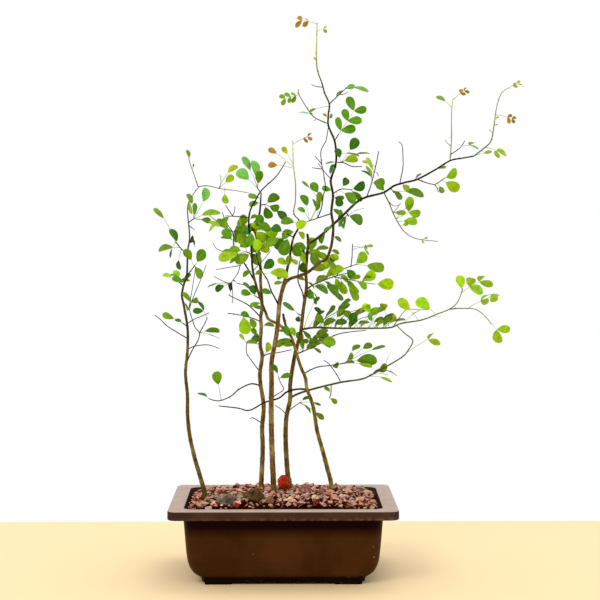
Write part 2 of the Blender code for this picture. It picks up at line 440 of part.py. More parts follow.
        ((-47.5, 260.5), (-68.5, 259), 2, 0, 10, 65)],
    "five_right": [((56.2, 188.5), (67.5, 206.5), -5, 0, 9, 35),
        ((56, 188.5), (79.5, 206.5), -3, 0, 9, 35), ((56, 188.5), (92, 204), -7, 0, 13, 58),
        ((56.2, 188.5), (84, 192.5), 5, 0, 18, 40), ((56.2, 188.5), (80.5, 185.5), 2, 0, 13, 62)],
    "five_face": [((-23.2, 346.5), (-37, 374.5), -3, 0, 14, 60),
        ((-23.2, 346.5), (-26.5, 371.5), 3, 0, 16, 40), ((-23.2, 346.5), (-41, 363), 5, 0, 14, 15),
        ((-23.2, 346.5), (-20.8, 361.5), -5, 0, 11, 15)],
    "five_crown": [((-26, 309.5), (-11.0, 313.0), -6, 0, 13, 25),
        ((-26, 309.5), (-4.5, 306.0), 5, 0, 13, 5), ((-26.8, 309.2), (-15.0, 298.0), 5, 0, 14, 5),
        ((-28.8, 308.7), (-30.5, 295.5), -4, 0, 12, 15), ((-27, 309), (-6.0, 296.5), 8, 0, 14, 35),
        ((-26.4, 309.3), (-19.0, 322.0), 3, 0, 12, 30)],
    "five_side": [((-33, 289), (-58.0, 282.5), -7, 0, 18, 40), ((-33, 289), (-49.5, 292.0), 4, 0, 12, 25),
        ((-29.5, 287.5), (-43, 280.5), -3, 0, 16, 10), ((-31, 288), (-20.5, 279.5), 5, 0, 13, 30),
        ((-31.5, 288.3), (-20.0, 297.5), 6, 0, 14, 20), ((-30, 287.6), (-11.5, 294.0), -5, 0, 13, 15),
        ((-32.8, 289), (-38.5, 305.5), -3, 0, 13, 15)],
    "five_low": [((-25, 249), (-37, 254), -4, 0, 9, 25), ((-25, 249), (-28.5, 259), -3, 0, 9, 20)],
    "five_in": [((6, 209.1), (1.5, 222), -4, 0, 10, 30), ((6, 209.1), (-7, 206), 3, 0, 11, 40)],
}

# Large stones: middle, half sizes, colour
STONES = {
    "stone_red": ((0.5, 20, 77.8), (6.9, 6.6, 8.6), (0.62, 0.10, 0.03, 1.0)),
    "stone_pointed": ((-50.5, -46, 71.2), (11.0, 7.6, 8.4), (0.34, 0.25, 0.19, 1.0)),
    "stone_dark": ((-25.5, -40.5, 73.8), (12.0, 9.0, 10.0), (0.10, 0.07, 0.05, 1.0)),
    "stone_pink": ((19.5, -8, 74.0), (6.8, 6.0, 7.2), (0.55, 0.30, 0.25, 1.0)),
}
STONE_POINTS = 16
STONE_TURN = 137.5
STONE_SQUARE = 0.75
STONE_FILL = 0.88
STONE_UNEVEN = (0.86, 1.0)
STONE_WAVER = 0.35


def clear_scene():
    for obj in list(bpy.data.objects):
        bpy.data.objects.remove(obj)


def finish(name, colour, roughness):
    """A plain material in the colour of the real piece."""
    material = bpy.data.materials.new(name)
    material.use_nodes = True
    shader = material.node_tree.nodes["Principled BSDF"]
    shader.inputs["Base Color"].default_value = colour
    shader.inputs["Roughness"].default_value = roughness
    shader.inputs["Metallic"].default_value = 0.0
    return material


def new_object(name, bm, material=None):
    """An object from a bmesh in millimetres."""
    bmesh.ops.scale(bm, vec=(MM, MM, MM), verts=bm.verts)
    mesh = bpy.data.meshes.new(name)
    bm.to_mesh(mesh)
    bm.free()
    obj = bpy.data.objects.new(name, mesh)
    bpy.context.scene.collection.objects.link(obj)
    if material:
        mesh.materials.append(material)
    return obj


def keep_whole(mesh):
    """Keeps the largest closed body of a mesh, without scraps and sealed hollows."""
    bm = bmesh.new()
    bm.from_mesh(mesh)
    unseen = set(bm.verts)
    groups = []
    while unseen:
        group = [unseen.pop()]
        for vert in group:
            for edge in vert.link_edges:
                other = edge.other_vert(vert)
                if other in unseen:
                    unseen.remove(other)
                    group.append(other)
        groups.append(group)
    groups.sort(key=len, reverse=True)
    scraps = [vert for group in groups[1:] for vert in group]
    bmesh.ops.delete(bm, geom=scraps, context="VERTS")
    bm.to_mesh(mesh)
    bm.free()


def apply_modifiers(obj):
    depsgraph = bpy.context.evaluated_depsgraph_get()
    mesh = bpy.data.meshes.new_from_object(obj.evaluated_get(depsgraph))
    obj.modifiers.clear()
    obj.data = mesh


def join_or_cut(obj, others, operation, solver="EXACT"):
    """One Boolean with all the other objects, which are then removed."""
    if not others:
        return
    group = bpy.data.collections.new(obj.name + "_group")
    bpy.context.scene.collection.children.link(group)
    for other in others:
        bpy.context.scene.collection.objects.unlink(other)
        group.objects.link(other)
    modifier = obj.modifiers.new(operation.lower(), "BOOLEAN")
    modifier.operation = operation
    modifier.operand_type = "COLLECTION"
    modifier.collection = group
    modifier.solver = solver
    apply_modifiers(obj)
    for other in others:
        bpy.data.objects.remove(other)
    bpy.data.collections.remove(group)
    keep_whole(obj.data)


def place(across, up, depth):
    """A point of the front elevation, in the part's own millimetres."""
    spread = 1.0 + depth / EYE_AWAY
    return Vector((POT_ACROSS + across * spread, depth, EYE_HIGH + (up - EYE_HIGH) * spread))


def rounded_loop(half_x, half_y, radius):
    """Points round a rectangle with round corners, counter-clockwise."""
    points = []
    for corner in range(4):
        sign_x = 1 if corner in (0, 3) else -1
        sign_y = 1 if corner in (0, 1) else -1
        for step in range(CORNER_STEPS + 1):
            angle = math.radians(90.0) * (corner + step / CORNER_STEPS)
            x = sign_x * (half_x - radius) + radius * math.cos(angle)
            y = sign_y * (half_y - radius) + radius * math.sin(angle)
            points.append((x, y))
    return points


def loft(loops):
    """A closed body through level loops: half sizes, corner radius and height of each."""
    bm = bmesh.new()
    rings = []
    for half_x, half_y, radius, z in loops:
        ring = [bm.verts.new((POT_ACROSS + x, y, z)) for x, y in rounded_loop(half_x, half_y, radius)]
        rings.append(ring)
    for low, high in zip(rings, rings[1:]):
        for i in range(len(low)):
            j = (i + 1) % len(low)
            bm.faces.new((low[i], low[j], high[j], high[i]))
    bm.faces.new(list(reversed(rings[0])))
    bm.faces.new(rings[-1])
    bmesh.ops.recalc_face_normals(bm, faces=bm.faces)
    return bm


def pot_loops():
    half_x = RIM_LENGTH / 2
    half_y = RIM_WIDTH / 2
    loops = [(half_x - a, half_y - b, r, z) for a, b, r, z in BODY_PROFILE]
    rim_low = RIM_TOP - RIM_DEPTH
    inner = FLANGE - OPENING_ROUND
    loops.append((half_x - RIM_UNDERCUT, half_y - RIM_UNDERCUT, RIM_CORNER - 1.0, rim_low))
    loops.append((half_x, half_y, RIM_CORNER, rim_low + RIM_ROUND))
    loops.append((half_x, half_y, RIM_CORNER, RIM_TOP - RIM_ROUND))
    loops.append((half_x - RIM_ROUND, half_y - RIM_ROUND, RIM_CORNER - 1.0, RIM_TOP))
    loops.append((half_x - inner, half_y - inner, OPENING_CORNER, RIM_TOP))
    loops.append((half_x - FLANGE, half_y - FLANGE, OPENING_CORNER, RIM_TOP - OPENING_ROUND))
    for a, b, r, z in reversed(BODY_PROFILE[2:]):
        loops.append((half_x - a - WALL, half_y - b - WALL, r - WALL, z))
    a, b, r, z = BODY_PROFILE[0]
    loops.append((half_x - a, half_y - b, r, FLOOR_TOP))
    return loops


def inside_half(z):
    """The half length, half width and corner radius inside the pot at a height."""
    loops = pot_loops()[len(BODY_PROFILE) + RIM_LOOPS:]
    for high, low in zip(loops, loops[1:]):
        if low[3] <= z <= high[3]:
            part = (z - low[3]) / (high[3] - low[3])
            return [low[i] + (high[i] - low[i]) * part for i in range(3)]
    return list(loops[0][:3])


def block(low, high, taper=0.0):
    """A box, its underside smaller by the taper on each side."""
    bm = bmesh.new()
    corners = [(0, 0), (1, 0), (1, 1), (0, 1)]
    rings = []
    for z, inset in ((low[2], taper), (high[2], 0.0)):
        ring = []
        for i, j in corners:
            x = low[0] + inset if i == 0 else high[0] - inset
            y = low[1] + inset if j == 0 else high[1] - inset
            ring.append(bm.verts.new((x, y, z)))
        rings.append(ring)
    for i in range(4):
        j = (i + 1) % 4
        bm.faces.new((rings[0][i], rings[0][j], rings[1][j], rings[1][i]))
    bm.faces.new(list(reversed(rings[0])))
    bm.faces.new(rings[1])
    return bm


def build_pot():
    material = finish("brown_plastic", POT_BROWN, POT_ROUGHNESS)
    pot = new_object("pot", loft(pot_loops()), material)
    feet = []
    for side_x in (-1, 1):
        for side_y in (-1, 1):
            x = sorted((side_x * FOOT_END, side_x * (FOOT_END - FOOT_LENGTH)))
            y = sorted((side_y * FOOT_SIDE, side_y * (FOOT_SIDE - FOOT_WIDTH)))
            low = (POT_ACROSS + x[0], y[0], 0.0)
            high = (POT_ACROSS + x[1], y[1], FOOT_TOP)
            feet.append(new_object("foot", block(low, high, FOOT_TAPER)))
    join_or_cut(pot, feet, "UNION")
    drains = [new_object("drain", drain_cutter(side)) for side in (-1, 1)]
    join_or_cut(pot, drains, "DIFFERENCE")
    pot.data.shade_smooth()
    pot.data.set_sharp_from_angle(angle=math.radians(SMOOTH_ANGLE))
    return pot


def drain_cutter(side):
    x = POT_ACROSS + side * DRAIN_SPACING / 2
    low = Vector((x, 0.0, FLOOR_UNDER - DRAIN_PAST))
    high = Vector((x, 0.0, FLOOR_TOP + DRAIN_PAST))
    return tube([low, high], [DRAIN_RADIUS, DRAIN_RADIUS], DRAIN_SIDES)


def build_screens():
    material = finish("black_mesh", SCREEN_BLACK, SCREEN_ROUGHNESS)
    for side, name in ((-1, "drain_screen_left"), (1, "drain_screen_right")):
        x = POT_ACROSS + side * DRAIN_SPACING / 2
        half = SCREEN_SIZE / 2
        z = FLOOR_TOP + GAP
        new_object(name, block((x - half, -half, z), (x + half, half, z + SCREEN_THICK)), material)


def mix_height(x, y):
    """The growing mix: level and a little over the rim, and lower only at the pot's two ends."""
    half_x, half_y, _ = inside_half(RIM_TOP - RIM_DEPTH)
    crown = (1.0 - (x / half_x) ** MIX_LONG_POWER) * (1.0 - (y / half_y) ** MIX_CROSS_POWER)
    front = max(0.0, -y / half_y)
    return MIX_EDGE + MIX_FRONT_RISE * front + MIX_CROWN * crown


def into_corner(x, y, half_x, half_y, radius):
    """Pulls a point of a rectangle inside its round corner."""
    dx = abs(x) - (half_x - radius)
    dy = abs(y) - (half_y - radius)
    if dx <= 0 or dy <= 0:
        return x, y
    far = math.hypot(dx, dy)
    square = max(dx, dy)
    shrink = square / far
    new_x = math.copysign(half_x - radius + dx * shrink, x)
    new_y = math.copysign(half_y - radius + dy * shrink, y)
    return new_x, new_y


def mix_body():
    """The growing mix as one body: gravel relief on top, the pot's inside below."""
    rng = random.Random(MIX_SEED)
    top_z = RIM_TOP - RIM_DEPTH
    half_x, half_y, radius = inside_half(top_z)
    half_x -= MIX_INSET
    half_y -= MIX_INSET
    columns = round(2 * half_x / GRAVEL_CELL)
    rows = round(2 * half_y / GRAVEL_CELL)
    bm = bmesh.new()
    grid = {}
    edge_at = {}
    for i in range(columns + 1):
        for j in range(rows + 1):
            on_edge = i in (0, columns) or j in (0, rows)
            x = -half_x + 2 * half_x * i / columns
            y = -half_y + 2 * half_y * j / rows
            shift = 0.0 if on_edge else GRAVEL_SHIFT
            x += rng.uniform(-shift, shift)
            y += rng.uniform(-shift, shift)
            x, y = into_corner(x, y, half_x, half_y, radius)
            rough = EDGE_ROUGH if on_edge else GRAVEL_ROUGH
            z = mix_height(x, y)
            if on_edge:
                z = min(z, top_z + EDGE_OVER)
            z += rng.uniform(-rough, rough)
            grid[i, j] = bm.verts.new((POT_ACROSS + x, y, z))
            if on_edge:
                edge_at[i, j] = (x / half_x, y / half_y)
    for i in range(columns):
        for j in range(rows):
            a, b, c, d = grid[i, j], grid[i + 1, j], grid[i + 1, j + 1], grid[i, j + 1]
            if rng.random() < 0.5:
                bm.faces.new((a, b, c))
                bm.faces.new((a, c, d))
            else:
                bm.faces.new((a, b, d))
                bm.faces.new((b, c, d))
    ring_keys = [(i, 0) for i in range(columns)] + [(columns, j) for j in range(rows)]
    ring_keys += [(i, rows) for i in range(columns, 0, -1)] + [(0, j) for j in range(rows, 0, -1)]
    upper = [grid[key] for key in ring_keys]
    for z, inset in ((MIX_WAIST, MIX_INSET), (FLOOR_TOP + SCREEN_THICK + 2 * GAP, FLOOR_INSET)):
        level_x, level_y, level_radius = inside_half(z)
        lower = []
        for key in ring_keys:
            x, y = edge_at[key]
            lower.append(bm.verts.new((POT_ACROSS + x * (level_x - inset), y * (level_y - inset), z)))
        for k in range(len(upper)):
            m = (k + 1) % len(upper)
            bm.faces.new((lower[k], lower[m], upper[m], upper[k]))
        upper = lower
    bm.faces.new(list(reversed(upper)))
    return bm


def stone_body(middle, half, grow, seed):
    """A broken stone: the hull of points spread over a squared ball."""
    rng = random.Random(seed)
    bm = bmesh.new()
    for i in range(STONE_POINTS):
        up = 1.0 - 2.0 * (i + 0.5) / STONE_POINTS
        turn = math.radians(STONE_TURN) * i + rng.uniform(-STONE_WAVER, STONE_WAVER)
        flat = math.sqrt(1.0 - up * up)
        ball = Vector((flat * math.cos(turn), flat * math.sin(turn), up))
        ball *= rng.uniform(*STONE_UNEVEN) / max(abs(ball.x), abs(ball.y), abs(ball.z)) ** STONE_SQUARE
        size = [half[k] * ball[k] * STONE_FILL for k in range(3)]
        outward = Vector(size).normalized() * grow
        place_x = POT_ACROSS + middle[0] + size[0] + outward[0]
        bm.verts.new((place_x, middle[1] + size[1] + outward[1], middle[2] + size[2] + outward[2]))
    hull = bmesh.ops.convex_hull(bm, input=bm.verts)
    unused = [item for item in hull["geom_interior"] if isinstance(item, bmesh.types.BMVert)]
    bmesh.ops.delete(bm, geom=unused, context="VERTS")
    return bm


def build_stones():
    for seed, (name, (middle, half, colour)) in enumerate(STONES.items()):
        material = finish(name, colour, STONE_ROUGHNESS)
        new_object(name, stone_body(middle, half, 0.0, seed), material)


def build_mix(routes):
    material = finish("lava_gravel", MIX_RED, MIX_ROUGHNESS)
    mix = new_object("growing_mix", mix_body(), material)
    cutters = []
    for seed, (middle, half, colour) in enumerate(STONES.values()):
        cutters.append(new_object("pocket", stone_body(middle, half, 2 * GAP, seed)))
    for name in TRUNKS:
        points, radii = routes[name]
        down = (points[0] - points[1]).normalized()
        line = [points[0] + down * GAP] + points[1:HOLE_POINTS]
        hole = tube(line, [radii[0] + 2 * GAP] * HOLE_POINTS, TRUNK_SIDES)
        cutters.append(new_object("hole", hole))
    join_or_cut(mix, cutters, "DIFFERENCE")


def tube(points, radii, sides):
    """A closed tube along points, its ends capped."""
    bm = bmesh.new()
    rings = []
    across = None
    for i, point in enumerate(points):
        before = points[max(i - 1, 0)]
        after = points[min(i + 1, len(points) - 1)]
        ahead = (after - before).normalized()
        if across is None:
            across = ahead.orthogonal().normalized()
        across = (across - ahead * across.dot(ahead)).normalized()
        over = ahead.cross(across)
        ring = []
        for k in range(sides):
            angle = 2 * math.pi * k / sides
            offset = (across * math.cos(angle) + over * math.sin(angle)) * radii[i]
            ring.append(bm.verts.new(point + offset))
        rings.append(ring)
    for low, high in zip(rings, rings[1:]):
        for k in range(sides):
            m = (k + 1) % sides
            bm.faces.new((low[k], low[m], high[m], high[k]))
    bm.faces.new(list(reversed(rings[0])))
    bm.faces.new(rings[-1])
    return bm


def distances(points):
    """How far each point lies along its route."""
    far = [0.0]
    for before, after in zip(points, points[1:]):
        far.append(far[-1] + (Vector(after) - Vector(before)).length)
    return far


def tapered(points, thick, thin, power):
    far = distances(points)
    radii = []
    for along in far:
        diameter = thin + (thick - thin) * (1.0 - along / far[-1]) ** power
        radii.append(max(diameter, THINNEST) / 2)
    return radii


def on_route(points, across, up):
    """The point of a route's centre line nearest to a place on the elevation."""
    best = None
    for before, after in zip(points, points[1:]):
        for step in range(ROUTE_STEPS + 1):
            point = before.lerp(after, step / ROUTE_STEPS)
            spread = 1.0 + point.y / EYE_AWAY
            seen_across = (point.x - POT_ACROSS) / spread
            seen_up = EYE_HIGH + (point.z - EYE_HIGH) / spread
            miss = math.hypot(seen_across - across, seen_up - up)
            if best is None or miss < best[0]:
                best = (miss, point)
    return best[1]


def tree_of(bm):
    verts = [vert.co.copy() for vert in bm.verts]
    bm.verts.index_update()
    polygons = [[vert.index for vert in face.verts] for face in bm.faces]
    return BVHTree.FromPolygons(verts, polygons)


def off_surface(points, radius, skin):
    """Shortens a route so that its end disc stands just off the wood that carries it."""
    far = distances(points)
    start = 0.0
    while start < far[-1]:
        index = max(i for i, along in enumerate(far) if along <= start)
        index = min(index, len(points) - 2)
        ahead = (points[index + 1] - points[index]).normalized()
        middle = points[index] + ahead * (start - far[index])
        across = ahead.orthogonal().normalized()
        over = ahead.cross(across)
        clear = True
        for k in range(SEAT_POINTS):
            angle = 2 * math.pi * k / SEAT_POINTS
            point = middle + (across * math.cos(angle) + over * math.sin(angle)) * radius
            surface, normal, face, gap = skin.find_nearest(point)
            if gap < GAP or (point - surface).dot(normal) < 0:
                clear = False
        if clear:
            return [middle] + points[index + 1:]
        start += SEAT_STEP
    return points


def lay_routes():
    """Every route's points and radii in the part's own millimetres."""
    routes = {}
    whole = {}
    skins = {}
    owner = {route: node for group in (TREES, SHOOTS) for node, names in group.items() for route in names}
    for name, (thick, thin, power, near, far_depth, plan) in TRUNKS.items():
        far = distances([(u, w, 0) for u, w in plan])
        points = []
        for (across, up), along in zip(plan, far):
            points.append(place(across, up, near + (far_depth - near) * along / far[-1]))
        whole[name] = points
        routes[name] = (points, tapered(points, thick, thin, power))
        skins[name] = tree_of(tube(*routes[name], TRUNK_SIDES))
    for name, (parent, thick, thin, end_depth, plan) in BRANCHES.items():
        root = on_route(whole[parent], *plan[0])
        far = distances([(u, w, 0) for u, w in plan])
        points = [root]
        for (across, up), along in list(zip(plan, far))[1:]:
            reach = (end_depth * BRANCH_SPREAD - root.y) * along / far[-1]
            points.append(place(across, up, root.y + reach))
        whole[name] = points
        if owner[name] != owner[parent]:
            points = off_surface(points, thick / 2, skins[parent])
        routes[name] = (points, tapered(points, thick, thin, 1.0))
        skins[name] = tree_of(tube(*routes[name], sides_of(name)))
    return routes, skins, owner


def sides_of(name):
    if name in TRUNKS:
        return TRUNK_SIDES
    thick = BRANCHES[name][1]
    return TWIG_SIDES + 1 if thick > THICKEST_TWIG else TWIG_SIDES


def leaf_axes(foot, tip, turn):
    """Ahead, side and normal of a leaf, its upper face to the sky and the front."""
    ahead = (tip - foot).normalized()
    flat = ahead.cross(Vector((0, 1, 0))).normalized()
    tilt = math.radians(turn)
    side = flat * math.cos(tilt) + ahead.cross(flat) * math.sin(tilt)
    normal = ahead.cross(side)
    if normal.dot(LEAF_FACING) < 0:
        return ahead, -side, -normal
    return ahead, side, normal


def add_step(outline, faces, back, along, half):
    """The next two points of a stalk, joined to the two before. Gives the number of the first."""
    first = len(outline)
    outline.append((along, -half))
    outline.append((along, half))
    faces.append((back, back + 1, first + 1))
    faces.append((back, first + 1, first))
    return first


def single_blade(length, leaflet):
    """Outline and triangles of one leaflet at the end of its stalk."""
    leaflet = min(leaflet, length - LEAF_CLEAR)
    outline = [(0.0, -RACHIS_HALF), (0.0, RACHIS_HALF)]
    faces = []
    back = 0
    for out, wide in SMALL_CORNERS if leaflet <= SMALL_LEAFLET else SINGLE_CORNERS:
        half = max(wide * LEAFLET_WIDE * leaflet, RACHIS_HALF)
        back = add_step(outline, faces, back, length - leaflet + out * leaflet, half)
    return outline, faces


def compound_blade(length, pairs, leaflet, rng):
    """Outline and triangles of a rachis with its pairs of leaflets."""
    if pairs > 1:
        leaflet = min(leaflet, (length - LEAF_CLEAR) / (pairs - 1) / PAIR_PITCH)
    pitch = leaflet * PAIR_PITCH
    outline = [(0.0, -RACHIS_HALF), (0.0, RACHIS_HALF)]
    faces = []
    back = 0
    for station in [length - pitch * k for k in range(pairs - 1, -1, -1)]:
        near = max(station - LOBE_ROOT, FIRST_ROOT)
        root = add_step(outline, faces, back, near, RACHIS_HALF)
        back = add_step(outline, faces, root, station + LOBE_ROOT, RACHIS_HALF)
        for sign, root_back, root_front in ((-1, root, back), (1, root + 1, back + 1)):
            angle = math.radians(LEAFLET_ANGLE + rng.uniform(-LEAFLET_WAVER, LEAFLET_WAVER))
            size = leaflet * rng.uniform(*LEAFLET_SIZES)
            lobe = [root_back]
            for out, wide in LEAFLET_CORNERS:
                along = station + size * (out * math.cos(angle) - wide * LEAFLET_WIDE * math.sin(angle))
                beside = size * (out * math.sin(angle) + wide * LEAFLET_WIDE * math.cos(angle))
                outline.append((along, sign * (RACHIS_HALF + beside)))
                lobe.append(len(outline) - 1)
            lobe.append(root_front)
            if sign > 0:
                lobe.reverse()
            for k in range(1, len(lobe) - 1):
                faces.append((lobe[0], lobe[k + 1], lobe[k]))
    return outline, faces


def leaf_body(foot, tip, pairs, leaflet, turn, rng):
    """A leaf as one thin arched blade: stalk and leaflets in one outline."""
    length = (tip - foot).length
    if pairs:
        outline, faces = compound_blade(length, pairs, leaflet, rng)
    else:
        outline, faces = single_blade(length, leaflet)
    return blade_between(outline, faces, foot, leaf_axes(foot, tip, turn), length)


def blade_between(outline, faces, foot, axes, length):
    """Two like faces of triangles, a blade's thickness apart, closed round the outline."""
    ahead, side, normal = axes
    bm = bmesh.new()
    upper = []
    lower = []
    for along, beside in outline:
        part = along / length
        lift = LEAF_RISE * length * 4 * part * (1.0 - part) - LEAF_DROOP * abs(beside)
        point = foot + ahead * along + side * beside + normal * lift
        upper.append(bm.verts.new(point + normal * BLADE / 2))
        lower.append(bm.verts.new(point - normal * BLADE / 2))
    uses = {}
    for face in faces:
        bm.faces.new([upper[i] for i in face])
        bm.faces.new([lower[i] for i in reversed(face)])
        for i, j in zip(face, face[1:] + face[:1]):
            uses[i, j] = True
    for i, j in uses:
        if (j, i) not in uses:
            bm.faces.new((upper[j], upper[i], lower[i], lower[j]))
    bmesh.ops.recalc_face_normals(bm, faces=bm.faces)
    return bm


def settle_leaves(routes, skins, owner):
    """Lays every leaf, and swings it in depth until it crosses no other piece."""
    laid = {}
    taken = [(owner[name], skin) for name, skin in skins.items()]
    for number, (route, leaves) in enumerate(LEAVES.items()):
        for order, (foot_at, tip_at, reach, pairs, leaflet, turn) in enumerate(leaves):
            foot = on_route(routes[route][0], *foot_at)
            seed = LEAF_SEEDS * number + order
            for attempt in range(DEPTH_TRIES):
                swing = DEPTH_STEP * ((attempt + 1) // 2) * (1 if attempt % 2 else -1)
                tip = place(*tip_at, foot.y + reach + swing)
                body = leaf_body(foot, tip, pairs, leaflet, turn, random.Random(seed))
                skin = tree_of(body)
                crossed = any(skin.overlap(other) for node, other in taken if node != owner[route])
                if not crossed:
                    break
                body.free()
            if crossed:
                raise ValueError("a leaf of " + route + " finds no clear depth")
            taken.append((owner[route], skin))
            laid.setdefault(owner[route], []).append(body)
    return laid


def build_plants(routes, laid):
    bark = finish("bark", BARK, BARK_ROUGHNESS)
    green = finish("leaf_green", LEAF_GREEN, LEAF_ROUGHNESS)
    young = finish("leaf_young", LEAF_YELLOW, LEAF_ROUGHNESS)
    for group, material in ((TREES, bark), (SHOOTS, green)):
        for node, names in group.items():
            parts = [new_object(node, tube(*routes[name], sides_of(name))) for name in names]
            parts += [new_object("leaf", body) for body in laid.get(node, [])]
            whole = parts[0]
            whole.data.materials.append(young if node in ("shoot_3_pale", "shoot_3_top") else material)
            join_or_cut(whole, parts[1:], "UNION", "MANIFOLD")
            if group is TREES:
                whole.data.shade_smooth()


def main():
    clear_scene()
    routes, skins, owner = lay_routes()
    build_pot()
    build_screens()
    build_stones()
    build_mix(routes)
    laid = settle_leaves(routes, skins, owner)
    build_plants(routes, laid)


main()
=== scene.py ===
import math
import random

import bmesh
import bpy
import numpy as np
from mathutils import Euler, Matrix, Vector, noise
from mathutils.bvhtree import BVHTree


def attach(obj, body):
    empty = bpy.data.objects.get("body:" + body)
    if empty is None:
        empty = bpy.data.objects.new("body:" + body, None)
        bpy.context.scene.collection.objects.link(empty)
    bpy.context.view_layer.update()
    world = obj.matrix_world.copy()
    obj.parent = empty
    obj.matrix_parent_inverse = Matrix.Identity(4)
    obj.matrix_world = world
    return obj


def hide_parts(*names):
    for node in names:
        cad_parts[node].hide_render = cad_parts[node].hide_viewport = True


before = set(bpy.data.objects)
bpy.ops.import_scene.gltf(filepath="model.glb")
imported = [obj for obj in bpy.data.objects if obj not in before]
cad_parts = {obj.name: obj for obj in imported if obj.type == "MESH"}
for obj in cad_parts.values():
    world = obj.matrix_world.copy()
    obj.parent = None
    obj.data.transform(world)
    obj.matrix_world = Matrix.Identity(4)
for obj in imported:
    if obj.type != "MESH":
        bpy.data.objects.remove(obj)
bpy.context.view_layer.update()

MM = 0.001


# Training pot: one moulding of brown plastic, a rim flange round a body with rounded ends, four
# corner feet and two drain holes. Its rim top is pale with dust and a painted sheen, its lip is handled
# and dirty, it has scuffs low down, and painted shade darkens it under the rim and along its base.
POT_ACROSS = -47.7
RIM_HALF = (100.0, 75.0)
RIM_TOP = 67.0
RIM_DEPTH = 8.0
FLANGE = 13.5
RIM_CORNER = 8.0
OPENING_CORNER = 9.0
RIM_ROUND = 1.2
OPENING_ROUND = 0.8
WALL = 1.8
FLOOR_TOP = 6.6
FLOOR_UNDER = 1.6
BODY_PROFILE = [
    (28.5, 20.3, 11.0, FLOOR_UNDER),
    (27.5, 19.5, 12.0, 4.8),
    (21.0, 17.5, 14.0, 9.0),
    (17.0, 16.5, 15.0, 16.0),
    (15.0, 15.0, 15.0, 27.0),
    (12.5, 12.5, 14.0, RIM_TOP - RIM_DEPTH),
]
PROFILE_STEPS = 5
ROUND_STEPS = 5
CORNER_STEPS = 14
FOOT_SIZE = (26.0, 20.0)
FOOT_OUTER = (69.5, 56.0)
FOOT_TOP = 6.3
FOOT_TAPER = 1.0
FOOT_BEVEL = 1.6
FOOT_BEVEL_STEPS = 4
POT_SHARP = 40.0
DRAIN_AT = 40.0
DRAIN_RADIUS = 7.0
DRAIN_PAST = 1.0
DRAIN_SIDES = 24


def linear(red, green, blue):
    """A shader's colour from the colour as it is seen, each from 0 to 255."""
    seen = (red / 255, green / 255, blue / 255)
    return tuple(c / 12.92 if c <= 0.04045 else ((c + 0.055) / 1.055) ** 2.4 for c in seen) + (1.0,)


def finish(name, roughness, gloss=0.1):
    """A new material and its shader. gloss is the specular level, low on dusty and dull things."""
    material = bpy.data.materials.new(name)
    material.use_nodes = True
    shader = material.node_tree.nodes["Principled BSDF"]
    shader.inputs["Roughness"].default_value = roughness
    shader.inputs["Specular IOR Level"].default_value = gloss
    return material, shader


def put(material, kind, inputs=(), **settings):
    """A node of the material. An input that is another node's output is linked, a value is set."""
    made = material.node_tree.nodes.new("ShaderNode" + kind)
    for name, value in settings.items():
        setattr(made, name, value)
    for key, value in dict(inputs).items():
        if isinstance(value, bpy.types.NodeSocket):
            material.node_tree.links.new(value, made.inputs[key])
        else:
            made.inputs[key].default_value = value
    return made


def sum_of(material, operation, *values):
    return put(material, "Math", dict(enumerate(values)), operation=operation).outputs[0]


def times(material, first, second):
    return sum_of(material, "MULTIPLY", first, second)


def spread(material, value, low, high, out_low=0.0, out_high=1.0):
    """A value moved from one range to another, and kept inside it."""
    inputs = {"Value": value, "From Min": low, "From Max": high, "To Min": out_low, "To Max": out_high}
    return put(material, "MapRange", inputs).outputs[0]


def blend(material, factor, first, second, how="MIX"):
    inputs = {"Fac": factor, "Color1": first, "Color2": second}
    return put(material, "MixRGB", inputs, blend_type=how).outputs[0]


def mottle(material, where, scale, detail=4.0, rough=0.6):
    """Soft noise about 0.5, its scale in grains to the metre."""
    inputs = {"Vector": where, "Scale": scale, "Detail": detail, "Roughness": rough}
    return put(material, "TexNoise", inputs).outputs[0]


def in_place(material):
    return put(material, "TexCoord").outputs["Object"]


def stretched(material, where, scale):
    return put(material, "Mapping", {"Vector": where, "Scale": scale}).outputs[0]


def parts_of(material, vector):
    return put(material, "SeparateXYZ", {"Vector": vector}).outputs


def facing_up(material):
    """1 on a level top, 0 on a wall, below 0 underneath."""
    return parts_of(material, put(material, "NewGeometry").outputs["Normal"])[2]


def pits(material, where, scale, wide, narrow):
    """Round pores, 1 in the middle of each, its scale in pores to the metre."""
    cells = put(material, "TexVoronoi", {"Vector": where, "Scale": scale})
    return spread(material, cells.outputs["Distance"], wide, narrow)


def join_up(material, shader, colour, roughness, height, deep):
    """Links the shader's colour and roughness, and a bump from a height, deep in millimetres."""
    links = material.node_tree.links
    links.new(colour, shader.inputs["Base Color"])
    links.new(roughness, shader.inputs["Roughness"])
    bump = put(material, "Bump", {"Height": height, "Distance": deep * MM})
    links.new(bump.outputs[0], shader.inputs["Normal"])


def rounded_loop(half_x, half_y, radius):
    """Points round a rectangle with round corners, counter-clockwise."""
    points = []
    for corner in range(4):
        sign_x = 1 if corner in (0, 3) else -1
        sign_y = 1 if corner in (0, 1) else -1
        for step in range(CORNER_STEPS + 1):
            angle = math.radians(90.0) * (corner + step / CORNER_STEPS)
            x = sign_x * (half_x - radius) + radius * math.cos(angle)
            y = sign_y * (half_y - radius) + radius * math.sin(angle)
            points.append((x, y))
    return points


def rounding(inset, z, radius, start):
    """A quarter round of an edge: insets and heights round its centre."""
    turns = [math.radians(start + 90.0 * i / ROUND_STEPS) for i in range(ROUND_STEPS + 1)]
    return [(inset - radius * math.cos(a), z + radius * math.sin(a)) for a in turns]


